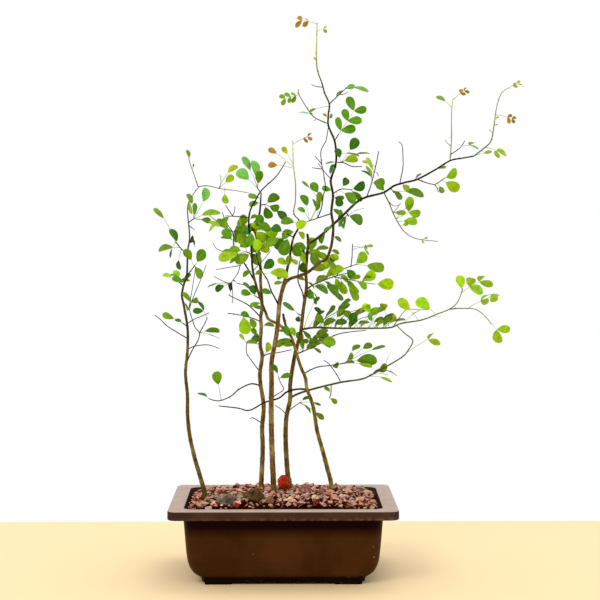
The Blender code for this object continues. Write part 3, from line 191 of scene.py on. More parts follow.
def through(values, part):
    """A smooth curve through a list of like tuples, at part of the way along it from 0 to 1."""
    at = part * (len(values) - 1)
    i = min(int(at), len(values) - 2)
    t = at - i
    before, here, there, after = (values[min(max(k, 0), len(values) - 1)] for k in (i - 1, i, i + 1, i + 2))
    point = []
    for a, b, c, d in zip(before, here, there, after):
        point.append(0.5 * (2 * b + (c - a) * t + (2 * a - 5 * b + 4 * c - d) * t * t
                            + (3 * b - a - 3 * c + d) * t ** 3))
    return point


def pot_levels():
    """Half length, half width, corner radius and height of each level, up outside and down inside."""
    half_x, half_y = RIM_HALF
    steps = PROFILE_STEPS * (len(BODY_PROFILE) - 1)
    outside = [through(BODY_PROFILE, i / steps) for i in range(steps + 1)]
    levels = [(half_x - a, half_y - b, r, z) for a, b, r, z in outside]
    edge = rounding(RIM_ROUND, RIM_TOP - RIM_DEPTH + RIM_ROUND, RIM_ROUND, -90.0)
    edge += rounding(RIM_ROUND, RIM_TOP - RIM_ROUND, RIM_ROUND, 0.0)
    levels += [(half_x - a, half_y - a, RIM_CORNER - a, z) for a, z in edge]
    inner = rounding(FLANGE - OPENING_ROUND, RIM_TOP - OPENING_ROUND, OPENING_ROUND, 90.0)
    levels += [(half_x - a, half_y - a, OPENING_CORNER, z) for a, z in inner]
    for a, b, r, z in reversed(BODY_PROFILE[2:]):
        levels.append((half_x - a - WALL, half_y - b - WALL, r - WALL, z))
    a, b, r, z = BODY_PROFILE[0]
    levels.append((half_x - a, half_y - b, r, FLOOR_TOP))
    return levels


def made_piece(name, bm, materials, smooth_under=None):
    """A piece from a bmesh in millimetres, smooth where its edges turn less than an angle."""
    bmesh.ops.scale(bm, vec=(MM, MM, MM), verts=bm.verts)
    mesh = bpy.data.meshes.new(name)
    bm.to_mesh(mesh)
    bm.free()
    for material in materials:
        mesh.materials.append(material)
    if smooth_under:
        mesh.shade_smooth()
        mesh.set_sharp_from_angle(angle=math.radians(smooth_under))
    piece = bpy.data.objects.new(name, mesh)
    bpy.context.scene.collection.objects.link(piece)
    return piece


def rings_body(rings):
    """A closed body through rings of points, both ends capped."""
    bm = bmesh.new()
    made = [[bm.verts.new(point) for point in ring] for ring in rings]
    for low, high in zip(made, made[1:]):
        for i in range(len(low)):
            j = (i + 1) % len(low)
            bm.faces.new((low[i], low[j], high[j], high[i]))
    bm.faces.new(list(reversed(made[0])))
    bm.faces.new(made[-1])
    bmesh.ops.recalc_face_normals(bm, faces=bm.faces)
    return bm


def foot_block(side_x, side_y):
    """One foot, its edges eased, a little smaller underneath."""
    x = sorted((side_x * FOOT_OUTER[0], side_x * (FOOT_OUTER[0] - FOOT_SIZE[0])))
    y = sorted((side_y * FOOT_OUTER[1], side_y * (FOOT_OUTER[1] - FOOT_SIZE[1])))
    rings = []
    for z, inset in ((0.0, FOOT_TAPER), (FOOT_TOP, 0.0)):
        ring = []
        for i, j in ((0, 0), (1, 0), (1, 1), (0, 1)):
            at_x = POT_ACROSS + x[i] + (inset if i == 0 else -inset)
            ring.append((at_x, y[j] + (inset if j == 0 else -inset), z))
        rings.append(ring)
    bm = rings_body(rings)
    uprights = [edge for edge in bm.edges if abs(edge.verts[0].co.z - edge.verts[1].co.z) > 1.0]
    bmesh.ops.bevel(bm, geom=uprights, offset=FOOT_BEVEL, segments=FOOT_BEVEL_STEPS,
                    affect="EDGES", profile=0.5)
    return bm


def fuse(piece, others, operation="UNION"):
    """Joins or cuts a piece with others, which are then removed."""
    group = bpy.data.collections.new(piece.name + "_group")
    bpy.context.scene.collection.children.link(group)
    for other in others:
        bpy.context.scene.collection.objects.unlink(other)
        group.objects.link(other)
    cut = piece.modifiers.new(operation.lower(), "BOOLEAN")
    cut.operation = operation
    cut.operand_type = "COLLECTION"
    cut.collection = group
    cut.solver = "MANIFOLD"
    depsgraph = bpy.context.evaluated_depsgraph_get()
    mesh = bpy.data.meshes.new_from_object(piece.evaluated_get(depsgraph))
    piece.modifiers.clear()
    piece.data = mesh
    for other in others:
        bpy.data.objects.remove(other)
    bpy.data.collections.remove(group)


def pot_plastic():
    """Brown plastic by height and by which way it faces, with dust, dirt, specks and scuffs, painted shade
    under the rim and at the base, and a painted sheen on the rim top.
    """
    material, shader = finish("pot_brown_plastic", 0.4, 0.03)
    where = in_place(material)
    across, _, high = parts_of(material, where)
    up = facing_up(material)
    cloud = mottle(material, where, 28.0)
    grain = mottle(material, where, 900.0, 3.0)
    low_brown = blend(material, spread(material, cloud, 0.35, 0.65), linear(57, 30, 5), linear(72, 40, 14))
    # Painted shade: the body is darkened to near black in a band just under the rim's overhang.
    under_rim_shade = spread(material, high, 0.041, 0.051)
    body = blend(material, under_rim_shade, low_brown, linear(25, 0, 0))
    # Painted shade: the body is darkened towards the floor along its base.
    base = spread(material, high, 0.0085, 0.006)
    body = blend(material, base, body, linear(20, 6, 2))
    scratch_at = stretched(material, where, (55.0, 55.0, 420.0))
    scratches = spread(material, mottle(material, scratch_at, 1.0, 3.0), 0.66, 0.72)
    scratches = times(material, scratches, spread(material, high, 0.026, 0.014))
    body = blend(material, times(material, scratches, 0.5), body, linear(126, 92, 60))
    cells = put(material, "TexVoronoi", {"Vector": where, "Scale": 95.0})
    speck = spread(material, cells.outputs["Distance"], 0.075, 0.05)
    picked = put(material, "SeparateColor", {"Color": cells.outputs["Color"]}).outputs[0]
    speck = times(material, speck, spread(material, picked, 0.72, 0.76))
    speck = times(material, speck, spread(material, high, 0.04, 0.02))
    body = blend(material, times(material, speck, 0.7), body, linear(190, 160, 120))
    lip = blend(material, spread(material, cloud, 0.35, 0.65), linear(54, 36, 25), linear(69, 48, 35))
    dirt = spread(material, high, 0.0625, 0.0595)
    dirt = times(material, dirt, spread(material, mottle(material, where, 210.0), 0.46, 0.6))
    dirt = times(material, dirt, spread(material, across, -0.14, 0.045, 0.35, 1.0))
    lip = blend(material, dirt, lip, linear(112, 72, 58))
    # Rim top: painted paler where it faces up, partly real dust and partly a painted sheen of the light on
    # it.
    dust_and_sheen = blend(material, mottle(material, where, 60.0), linear(158, 138, 124), linear(190, 172, 160))
    crumbs = spread(material, mottle(material, where, 520.0, 2.0), 0.69, 0.72)
    dust_and_sheen = blend(material, crumbs, dust_and_sheen, linear(92, 60, 48))
    rim = blend(material, spread(material, up, 0.45, 0.9), lip, dust_and_sheen)
    colour = blend(material, spread(material, high, 0.0586, 0.0596), body, rim)
    dull = spread(material, high, 0.056, 0.063, 0.4, 0.62)
    rough = sum_of(material, "ADD", dull, spread(material, cloud, 0.3, 0.7, -0.06, 0.08))
    height = sum_of(material, "ADD", grain, times(material, mottle(material, where, 160.0), 1.5))
    join_up(material, shader, colour, rough, height, 0.12)
    return material


levels = pot_levels()
pot_rings = [[(POT_ACROSS + x, y, z) for x, y in rounded_loop(a, b, r)] for a, b, r, z in levels]
pot = made_piece("training_pot", rings_body(pot_rings), [pot_plastic()])
fuse(pot, [made_piece("foot", foot_block(i, j), []) for i in (-1, 1) for j in (-1, 1)])
drains = []
for side in (-1, 1):
    middle = POT_ACROSS + side * DRAIN_AT
    turns = [k / DRAIN_SIDES * math.tau for k in range(DRAIN_SIDES)]
    hole = [(middle + DRAIN_RADIUS * math.cos(a), DRAIN_RADIUS * math.sin(a)) for a in turns]
    ends = (FLOOR_UNDER - DRAIN_PAST, FLOOR_TOP + DRAIN_PAST)
    drains.append(made_piece("drain", rings_body([[(x, y, z) for x, y in hole] for z in ends]), []))
fuse(pot, drains, "DIFFERENCE")
pot.data.shade_smooth()
pot.data.set_sharp_from_angle(angle=math.radians(POT_SHARP))
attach(pot, "root")
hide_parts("pot")


# Drain screens: two squares of black plastic mesh that lie over the drain holes and keep the
# gravel in. Each is a woven-looking net of crossing threads.
SCREEN_HALF = 13.0
SCREEN_THREADS = 11
THREAD_HALF = 0.38
THREAD_UP = 0.3
THREAD_LEVELS = (0.6, 1.4)


def screen_net(middle):
    """Threads both ways, the one set lying on the other."""
    bm = bmesh.new()
    pitch = 2 * (SCREEN_HALF - THREAD_HALF) / (SCREEN_THREADS - 1)
    for way in (0, 1):
        for i in range(SCREEN_THREADS):
            at = -SCREEN_HALF + THREAD_HALF + pitch * i
            z = FLOOR_TOP + THREAD_UP + THREAD_HALF * THREAD_LEVELS[way]
            box = bmesh.ops.create_cube(bm, size=1.0)["verts"]
            long_x = 2 * SCREEN_HALF if way == 0 else 2 * THREAD_HALF
            long_y = 2 * THREAD_HALF if way == 0 else 2 * SCREEN_HALF
            bmesh.ops.scale(bm, vec=(long_x, long_y, THREAD_HALF), verts=box)
            shift = (middle, at, z) if way == 0 else (middle + at, 0.0, z)
            bmesh.ops.translate(bm, vec=shift, verts=box)
    return bm


def black_mesh():
    material, shader = finish("black_mesh", 0.6)
    where = in_place(material)
    dust_and_painted_light = blend(material, mottle(material, where, 300.0), linear(24, 22, 20), linear(58, 50, 44))
    rough = spread(material, mottle(material, where, 120.0), 0.3, 0.7, 0.5, 0.75)
    join_up(material, shader, dust_and_painted_light, rough, mottle(material, where, 1500.0), 0.05)
    return material


mesh_finish = black_mesh()
for side, name in ((-1, "drain_screen_left"), (1, "drain_screen_right")):
    screen = made_piece(name + "_net", screen_net(POT_ACROSS + side * DRAIN_AT), [mesh_finish])
    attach(screen, "root")
    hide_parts(name)


# Growing mix: broken lava gravel of 3 to 15 mm, red, brown, black, orange and pink, a little
# over the rim. A bed of fine grit fills the pot, painted near black partly as the shade in the gaps
# between the stones, and the stones lie packed on it.
MIX_EDGE = 63.0
MIX_FRONT_RISE = 2.5
MIX_CROWN = 8.5
MIX_LONG_POWER = 4
MIX_CROSS_POWER = 8
MIX_INSET = 1.2

top_inset_x, top_inset_y, top_corner, _ = BODY_PROFILE[-1]
mix_half = (RIM_HALF[0] - top_inset_x - WALL, RIM_HALF[1] - top_inset_y - WALL, top_corner - WALL)


def mix_height(x, y):
    """Level and a little over the rim, and lower only at the pot's two ends."""
    crown = 1.0 - min(abs(x / mix_half[0]), 1.0) ** MIX_LONG_POWER
    crown *= 1.0 - min(abs(y / mix_half[1]), 1.0) ** MIX_CROSS_POWER
    return MIX_EDGE + MIX_FRONT_RISE * max(0.0, -y / mix_half[1]) + MIX_CROWN * crown


def into_corner(x, y, half_x, half_y, radius):
    """Pulls a point of a rectangle inside its round corner."""
    dx = abs(x) - (half_x - radius)
    dy = abs(y) - (half_y - radius)
    if dx <= 0 or dy <= 0:
        return x, y
    shrink = max(dx, dy) / math.hypot(dx, dy)
    return (math.copysign(half_x - radius + dx * shrink, x), math.copysign(half_y - radius + dy * shrink, y))


BED_DROP = 2.2
BED_CELL = 3.4
BED_ROUGH = 0.9
BED_GRAIN = 0.45
BED_LEVELS = ((40.0, 0.985), (27.0, 0.965), (FLOOR_TOP + 1.6, 0.86))
BED_SHARP = 50.0


def bed_body():
    """The grit under the stones: a rough top, and the pot's inside below."""
    half_x, half_y, radius = (size - MIX_INSET for size in mix_half)
    columns = round(2 * half_x / BED_CELL)
    rows = round(2 * half_y / BED_CELL)
    bm = bmesh.new()
    top = {}
    for i in range(columns + 1):
        for j in range(rows + 1):
            x = -half_x + 2 * half_x * i / columns
            y = -half_y + 2 * half_y * j / rows
            x, y = into_corner(x, y, half_x, half_y, radius)
            rough = BED_ROUGH * noise.noise(Vector((x, y, 0.0)) * BED_GRAIN)
            top[i, j] = bm.verts.new((POT_ACROSS + x, y, mix_height(x, y) - BED_DROP + rough))
    for i in range(columns):
        for j in range(rows):
            bm.faces.new((top[i, j], top[i + 1, j], top[i + 1, j + 1], top[i, j + 1]))
    ring = [(i, 0) for i in range(columns)] + [(columns, j) for j in range(rows)]
    ring += [(i, rows) for i in range(columns, 0, -1)] + [(0, j) for j in range(rows, 0, -1)]
    upper = [top[key] for key in ring]
    for z, part in BED_LEVELS:
        lower = [bm.verts.new((POT_ACROSS + (top[key].co.x - POT_ACROSS) * part, top[key].co.y * part, z))
                 for key in ring]
        for k in range(len(ring)):
            m = (k + 1) % len(ring)
            bm.faces.new((lower[k], lower[m], upper[m], upper[k]))
        upper = lower
    bm.faces.new(list(reversed(upper)))
    return bm


SHAPE_POINTS = 12
SHAPE_UNEVEN = (0.82, 1.0)
SHAPE_CHIPS = (-0.11, 0.05)


def broken_shape(rng, cuts):
    """One broken lump, about 2 across: points and triangles."""
    bm = bmesh.new()
    for _ in range(SHAPE_POINTS):
        way = Vector([rng.gauss(0.0, 1.0) for _ in range(3)]).normalized()
        bm.verts.new(way * rng.uniform(*SHAPE_UNEVEN))
    hull = bmesh.ops.convex_hull(bm, input=bm.verts)
    unused = [item for item in hull["geom_interior"] if isinstance(item, bmesh.types.BMVert)]
    bmesh.ops.delete(bm, geom=unused, context="VERTS")
    for step in range(cuts):
        bmesh.ops.subdivide_edges(bm, edges=bm.edges, cuts=1, use_grid_fill=True)
        bmesh.ops.triangulate(bm, faces=bm.faces)
        for vert in bm.verts:
            vert.co *= 1.0 + rng.uniform(*SHAPE_CHIPS) / (1 + step)
    bm.verts.index_update()
    points = np.array([vert.co for vert in bm.verts])
    triangles = np.array([[vert.index for vert in face.verts] for face in bm.faces])
    bm.free()
    return points, triangles


TRUNK_FEET = [(-72.2, -12), (-20.4, 28), (-8.9, 0), (5.7, 33), (43.7, 14)]
TRUNK_ROOM = 2.2
BIG_STONES = [(0.5, 20, 6.4), (-50.5, -46, 9.4), (-25.5, -40.5, 10.4), (19.5, -8, 6.2)]
MARKED_STONES = [
    (-7, -36, 4.6, linear(32, 32, 38), 0.9),
    (6.5, -39, 5.2, linear(232, 196, 160), 0.5),
    (-44, 45, 6.2, linear(86, 74, 78), 0.7),
    (64, 46, 4.0, linear(78, 54, 66), 1.5),
    (48, 50, 4.2, linear(84, 60, 70), 1.4),
    (27, 42, 5.0, linear(58, 54, 50), 0.9),
    (77, 24, 4.4, linear(198, 88, 58), 0.9),
    (69, -6, 5.0, linear(42, 40, 46), 0.8),
    (-65, -56, 5.2, linear(108, 104, 88), 0.6),
    (-68, 20, 4.6, linear(226, 168, 136), 0.6),
]
GRAVEL_TONES = [
    (22, linear(178, 76, 40)),
    (17, linear(128, 44, 20)),
    (18, linear(54, 12, 2)),
    (10, linear(216, 120, 70)),
    (16, linear(255, 180, 144)),
    (10, linear(150, 84, 50)),
    (9, linear(255, 226, 194)),
    (2, linear(150, 140, 50)),
    (5, linear(120, 100, 92)),
]
GRAVEL_SIZES = ((60, 5.6, 7.4), (170, 4.0, 5.6), (440, 2.7, 3.9), (620, 1.5, 2.5))
GRAVEL_PACK = 0.76
GRAVEL_TRIES = 30
GRAVEL_TALL = (0.6, 1.0)
WALL_ROOM = 0.9
GRID = 10


def scatter_gravel(rng):
    """Where each stone lies: across, depth, radius, colour and tallness, the largest first."""
    lying = []
    cells = {}

    def crowded(x, y, radius):
        for i in range(int(x // GRID) - 1, int(x // GRID) + 2):
            for j in range(int(y // GRID) - 1, int(y // GRID) + 2):
                for a, b, r in cells.get((i, j), ()):
                    if math.hypot(x - a, y - b) < GRAVEL_PACK * (radius + r):
                        return True
        return False

    def take(x, y, radius):
        cells.setdefault((int(x // GRID), int(y // GRID)), []).append((x, y, radius))

    def lay(x, y, radius, tone, tall):
        take(x, y, radius)
        lying.append((x, y, radius, tone, tall))

    for x, y in TRUNK_FEET:
        take(x, y, TRUNK_ROOM)
    for x, y, radius in BIG_STONES:
        take(x, y, radius)
    for x, y, radius, tone, tall in MARKED_STONES:
        lay(x, y, radius, tone, tall)
    weights = [weight for weight, _ in GRAVEL_TONES]
    for count, least, most in GRAVEL_SIZES:
        for _ in range(count):
            for _ in range(GRAVEL_TRIES):
                radius = rng.uniform(least, most)
                room_x = mix_half[0] - MIX_INSET - radius * WALL_ROOM
                room_y = mix_half[1] - MIX_INSET - radius * WALL_ROOM
                x = rng.uniform(-room_x, room_x)
                y = rng.uniform(-room_y, room_y)
                x, y = into_corner(x, y, room_x, room_y, mix_half[2])
                if not crowded(x, y, radius):
                    tone = rng.choices(GRAVEL_TONES, weights)[0][1]
                    lay(x, y, radius, tone, rng.uniform(*GRAVEL_TALL))
                    break
    return lying


SHAPES = 16
ROUGH_OVER = 3.5
GRAVEL_FLAT = (0.75, 1.0)
GRAVEL_LEAN = 0.3
GRAVEL_SUNK = 0.2
GRAVEL_LEVEL = 0.8
GRAVEL_SHADE = (0.6, 1.5)
GRAVEL_SEED = 7


def gravel_piece(name, lying, material, rng):
    """All the stones as one mesh, each turned its own way, with its colour kept on its points."""
    plain = [broken_shape(rng, 1) for _ in range(SHAPES)]
    rough = [broken_shape(rng, 2) for _ in range(SHAPES)]
    all_points = []
    all_triangles = []
    all_colours = []
    count = 0
    for x, y, radius, tone, tall in lying:
        points, triangles = (rough if radius > ROUGH_OVER else plain)[rng.randrange(SHAPES)]
        turn = np.array(Euler([rng.uniform(0, math.tau) for _ in range(3)]).to_matrix())
        points = points @ turn
        points = points * [radius, radius * rng.uniform(*GRAVEL_FLAT), radius * tall]
        swing = rng.uniform(0, math.tau)
        lean = [rng.uniform(-GRAVEL_LEAN, GRAVEL_LEAN) for _ in range(2)]
        spin = np.array(Euler((*lean, swing)).to_matrix())
        z = mix_height(x, y) - GRAVEL_SUNK * radius + rng.uniform(-GRAVEL_LEVEL, GRAVEL_LEVEL)
        all_points.append(points @ spin + [POT_ACROSS + x, y, z])
        all_triangles.append(triangles + count)
        shade = rng.uniform(*GRAVEL_SHADE)
        all_colours += [[tone[0] * shade, tone[1] * shade, tone[2] * shade, 1.0]] * len(points)
        count += len(points)
    mesh = bpy.data.meshes.new(name)
    mesh.from_pydata(np.concatenate(all_points) * MM, [], np.concatenate(all_triangles))
    mesh.attributes.new("stone_colour", "FLOAT_COLOR", "POINT")
    mesh.attributes["stone_colour"].data.foreach_set("color", np.array(all_colours, np.float32).ravel())
    mesh.materials.append(material)
    piece = bpy.data.objects.new(name, mesh)
    bpy.context.scene.collection.objects.link(piece)
    return piece


def lava():
    """Broken lava: each stone's own colour, blotched, with pores, with painted light on faces turned up and
    painted shade on faces turned down.
    """
    material, shader = finish("broken_lava", 0.85, 0.03)
    where = in_place(material)
    own = put(material, "Attribute", attribute_name="stone_colour").outputs["Color"]
    blotch = spread(material, mottle(material, where, 420.0), 0.35, 0.65)
    darker = blend(material, 1.0, own, linear(160, 66, 42), "MULTIPLY")
    paler = blend(material, 0.34, own, linear(255, 206, 174))
    colour = blend(material, blotch, darker, paler)
    pores = pits(material, where, 1500.0, 0.28, 0.1)
    colour = blend(material, times(material, pores, 0.6), colour, linear(40, 20, 18))
    # Painted light and shade: faces turned up are painted paler and faces turned down darker.
    up = facing_up(material)
    shaded = blend(material, 1.0, colour, linear(156, 94, 70), "MULTIPLY")
    dust_and_painted_light = blend(material, 0.26, colour, linear(255, 224, 196))
    colour = blend(material, spread(material, up, 0.15, 0.85), shaded, dust_and_painted_light)
    rough = spread(material, blotch, 0.0, 1.0, 0.72, 0.95)
    height = sum_of(material, "SUBTRACT", mottle(material, where, 1100.0), pores)
    join_up(material, shader, colour, rough, height, 0.35)
    return material


def grit():
    material, shader = finish("grit_with_painted_shade", 0.95, 0.02)
    where = in_place(material)
    grains = put(material, "TexVoronoi", {"Vector": where, "Scale": 700.0})
    # Near black grit: partly its own dark colour and partly painted shade for the gaps between the stones.
    colour = blend(material, grains.outputs["Distance"], linear(60, 12, 2), linear(24, 3, 0))
    rough = spread(material, mottle(material, where, 200.0), 0.3, 0.7, 0.85, 1.0)
    join_up(material, shader, colour, rough, grains.outputs["Distance"], 0.8)
    return material


lava_finish = lava()
gravel_rng = random.Random(GRAVEL_SEED)
bed = made_piece("grit_bed", bed_body(), [grit()], BED_SHARP)
gravel = gravel_piece("lava_gravel_top", scatter_gravel(gravel_rng), lava_finish, gravel_rng)
for piece in (bed, gravel):
    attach(piece, "root")
    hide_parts("growing_mix")


# Larger stones: four broken pieces of rock sunk a little in the gravel. One is red-orange, one a
# grey-brown point, one dark brown with mossy patches and one pink.
STONES = {
    "stone_red": ((0.5, 20, 77.8), (6.9, 6.6, 8.6), linear(216, 66, 30), linear(128, 36, 18),
                  linear(250, 130, 84)),
    "stone_pointed": ((-50.5, -46, 71.2), (11.0, 7.6, 8.4), linear(128, 112, 98), linear(70, 56, 44),
                      linear(196, 160, 120)),
    "stone_dark": ((-25.5, -40.5, 73.8), (12.0, 9.0, 10.0), linear(100, 76, 38), linear(46, 30, 16),
                   linear(164, 150, 62)),
    "stone_pink": ((19.5, -8, 74.0), (6.8, 6.0, 7.2), linear(186, 128, 118), linear(118, 70, 66),
                   linear(226, 170, 150)),
}
STONE_POINTS = 16
STONE_TURN = 137.5
STONE_SQUARE = 0.75
STONE_FILL = 0.88
STONE_UNEVEN = (0.86, 1.0)
STONE_WAVER = 0.35
STONE_CUTS = 3
STONE_ROUGH = 0.72
STONE_GRAIN = 0.35
CRACK_GRAIN = 0.9
CRACK_DEPTH = 0.35
CHIP_LEVEL = 0.3
CHIP_LAYERS = 4


def stone_body(middle, half, seed):
    """The hull of points spread over a squared ball, cut finer and roughened."""
    rng = random.Random(seed)
    bm = bmesh.new()
    for i in range(STONE_POINTS):
        up = 1.0 - 2.0 * (i + 0.5) / STONE_POINTS
        turn = math.radians(STONE_TURN) * i + rng.uniform(-STONE_WAVER, STONE_WAVER)
        flat = math.sqrt(1.0 - up * up)
        ball = Vector((flat * math.cos(turn), flat * math.sin(turn), up))
        ball *= rng.uniform(*STONE_UNEVEN) / max(abs(ball.x), abs(ball.y), abs(ball.z)) ** STONE_SQUARE
        size = [half[k] * ball[k] * STONE_FILL for k in range(3)]
        bm.verts.new((POT_ACROSS + middle[0] + size[0], middle[1] + size[1], middle[2] + size[2]))
    hull = bmesh.ops.convex_hull(bm, input=bm.verts)
    unused = [item for item in hull["geom_interior"] if isinstance(item, bmesh.types.BMVert)]
    bmesh.ops.delete(bm, geom=unused, context="VERTS")
    centre = Vector((POT_ACROSS + middle[0], middle[1], middle[2]))
    for _ in range(STONE_CUTS):
        bmesh.ops.subdivide_edges(bm, edges=bm.edges, cuts=1, use_grid_fill=True)
        bmesh.ops.triangulate(bm, faces=bm.faces)
    for vert in bm.verts:
        out = (vert.co - centre).normalized()
        crack = CRACK_DEPTH * abs(noise.noise(vert.co * CRACK_GRAIN))
        chip = noise.fractal(vert.co * STONE_GRAIN, 1.0, 2.0, CHIP_LAYERS) - crack
        vert.co += out * STONE_ROUGH * (chip - CHIP_LEVEL)
    return bm


def rock(name, main, dark, patch):
    """Rock of one colour with dark seams and a paler or mossy patch."""
    material, shader = finish(name, 0.85)
    where = in_place(material)
    base = blend(material, spread(material, mottle(material, where, 260.0), 0.35, 0.62), dark, main)
    patches = spread(material, mottle(material, where, 120.0), 0.56, 0.66)
    colour = blend(material, times(material, patches, 0.8), base, patch)
    pores = pits(material, where, 1100.0, 0.3, 0.1)
    colour = blend(material, times(material, pores, 0.5), colour, dark)
    rough = spread(material, mottle(material, where, 300.0), 0.3, 0.7, 0.7, 0.95)
    height = sum_of(material, "SUBTRACT", mottle(material, where, 900.0, 6.0), pores)
    join_up(material, shader, colour, rough, height, 0.4)
    return material


for seed, (name, (middle, half, main, dark, patch)) in enumerate(STONES.items()):
    stone = made_piece(name + "_rock", stone_body(middle, half, seed), [rock(name, main, dark, patch)])
    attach(stone, "root")
    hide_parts(name)


# Tree 1, at the left end of the pot: a thin trunk that leans out and stands nearly straight to
# its tip, with an arching top shoot. Living wood and leaves, rooted in the mix. Its bark is olive
# low down and near black on the twigs.
EYE_AWAY = 1454.0
EYE_HIGH = 308.0


def place(across, up, depth):
    """A point of the front elevation, in the part's own millimetres."""
    spread_at = 1.0 + depth / EYE_AWAY
    return Vector((POT_ACROSS + across * spread_at, depth, EYE_HIGH + (up - EYE_HIGH) * spread_at))


def distances(points):
    """How far each point lies along its route."""
    far = [0.0]
    for before, after in zip(points, points[1:]):
        far.append(far[-1] + (Vector(after) - Vector(before)).length)
    return far


ROUTE_STEPS = 20


def on_route(points, across, up):
    """The point of a route's centre line nearest to a place on the elevation."""
    best = None
    for before, after in zip(points, points[1:]):
        for step in range(ROUTE_STEPS + 1):
            point = before.lerp(after, step / ROUTE_STEPS)
            spread_at = 1.0 + point.y / EYE_AWAY
            seen_up = EYE_HIGH + (point.z - EYE_HIGH) / spread_at
            miss = math.hypot((point.x - POT_ACROSS) / spread_at - across, seen_up - up)
            if best is None or miss < best[0]:
                best = (miss, point)
    return best[1]


BRANCH_SPREAD = 1.35


def lay_wood(tree):
    """Each route's points and radii: the trunk first, then each branch from the one it springs from."""
    name, thick, thin, power, near, far_depth, plan = tree["trunk"]
    far = distances([(u, w, 0) for u, w in plan])
    points = [place(u, w, near + (far_depth - near) * at / far[-1]) for (u, w), at in zip(plan, far)]
    routes = {name: (points, tapered(points, thick, thin, power))}
    for name, (parent, thick, thin, end_depth, plan) in tree["branches"].items():
        root = on_route(routes[parent][0], *plan[0])
        far = distances([(u, w, 0) for u, w in plan])
        points = [root]
        for (u, w), at in list(zip(plan, far))[1:]:
            points.append(place(u, w, root.y + (end_depth * BRANCH_SPREAD - root.y) * at / far[-1]))
        routes[name] = (points, tapered(points, thick, thin, 1.0))
    return routes


THINNEST = 0.56
SLIM_LEAST = 0.62
SLIM_RISE = 0.25


def tapered(points, thick, thin, power):
    """Half thicknesses along a route. The solids' twigs are stout, so thin wood is drawn slimmer."""
    far = distances(points)
    full = [thin + (thick - thin) * (1.0 - at / far[-1]) ** power for at in far]
    return [max(size * min(1.0, SLIM_LEAST + SLIM_RISE * size), THINNEST) / 2 for size in full]


def new_growth():
    """Points, faces, which finish each face has, and for each point its growth facts and its tint."""
    return {"points": [], "faces": [], "finish": [], "facts": [], "tint": []}


def add_rings(grown, rings, facts, tint, finish_at):
    """A closed skin through like rings. facts has a triple for each point of each ring."""
    first = len(grown["points"])
    sides = len(rings[0])
    for ring, ring_facts in zip(rings, facts):
        grown["points"] += [tuple(point) for point in ring]
        grown["facts"] += ring_facts
        grown["tint"] += [tint] * sides
    faces = [tuple(first + k for k in reversed(range(sides)))]
    for i in range(len(rings) - 1):
        low = first + i * sides
        for k in range(sides):
            m = (k + 1) % sides
            faces.append((low + k, low + m, low + sides + m, low + sides + k))
    last = first + (len(rings) - 1) * sides
    faces.append(tuple(last + k for k in range(sides)))
    grown["faces"] += faces
    grown["finish"] += [finish_at] * len(faces)


RING_STEP = 1.5


def fine_route(points, radii):
    """A smooth curve through a route's points, a ring about every RING_STEP."""
    values = [(*point, radius) for point, radius in zip(points, radii)]
    far = distances(points)
    fine = []
    for i in range(len(values) - 1):
        steps = max(1, round((far[i + 1] - far[i]) / RING_STEP))
        for step in range(steps):
            fine.append(through(values, (i + step / steps) / (len(values) - 1)))
    fine.append(list(values[-1]))
    return [Vector(value[:3]) for value in fine], [value[3] for value in fine]


JOINT_PITCH = (9.0, 14.0)
JOINT_SWELL = 0.1
JOINT_LONG = 0.9
SOIL_LEVEL = 66.0
FLARE = 0.3
FLARE_HIGH = 7.0
BARK_UNEVEN = 0.09
BARK_GRAIN = 0.55
YOUNG_FROM = 0.35
FRESH_TIP_POWER = 9.0
END_CAP = ((0.6, 0.8), (0.95, 0.35))
WHITE = (1.0, 1.0, 1.0, 1.0)


def limb(grown, points, radii, sides, young, rng, flare=0.0, fresh_tip=0.0):
    """A limb's bark: uneven, swollen at its joints, thicker at a trunk's foot and rounded at its end."""
    points, radii = fine_route(points, radii)
    far = distances(points)
    seed = Vector((rng.uniform(0, 99), rng.uniform(0, 99), 0.0))
    pitch = rng.uniform(*JOINT_PITCH)
    ahead = (points[-1] - points[-2]).normalized()
    end = radii[-1]
    points = points + [points[-1] + ahead * end * past for past, _ in END_CAP]
    radii = radii + [end * part for _, part in END_CAP]
    far = far + [far[-1] + end * past for past, _ in END_CAP]
    across = None
    rings = []
    facts = []
    for i, point in enumerate(points):
        ahead = (points[min(i + 1, len(points) - 1)] - points[max(i - 1, 0)]).normalized()
        if across is None:
            across = ahead.orthogonal().normalized()
        across = (across - ahead * across.dot(ahead)).normalized()
        over = ahead.cross(across)
        joint = math.exp(-(((far[i] % pitch) - pitch / 2) / JOINT_LONG) ** 2)
        foot = math.exp(-((point.z - SOIL_LEVEL) / FLARE_HIGH) ** 2)
        swell = 1.0 + JOINT_SWELL * joint + flare * foot
        ring = []
        for k in range(sides):
            angle = math.tau * k / sides
            way = across * math.cos(angle) + over * math.sin(angle)
            uneven = 1.0 + BARK_UNEVEN * noise.noise((point + way * radii[i]) * BARK_GRAIN + seed)
            ring.append(point + way * radii[i] * swell * uneven)
        rings.append(ring)
        share = far[i] / far[-1]
        fresh = young * min(1.0, YOUNG_FROM + (1.0 - YOUNG_FROM) * share)
        fresh = max(fresh, fresh_tip * share ** FRESH_TIP_POWER)
        facts.append([(fresh, radii[i], k / sides) for k in range(sides)])
    add_rings(grown, rings, facts, WHITE, 0)
    return points, radii, far


FINE_SIDES = 6


def thin_ring(middle, side, up, radius):
    """Points round a bud or a leaf stalk."""
    turns = [math.tau * k / FINE_SIDES for k in range(FINE_SIDES)]
    return [middle + (side * math.cos(a) + up * math.sin(a)) * radius for a in turns]


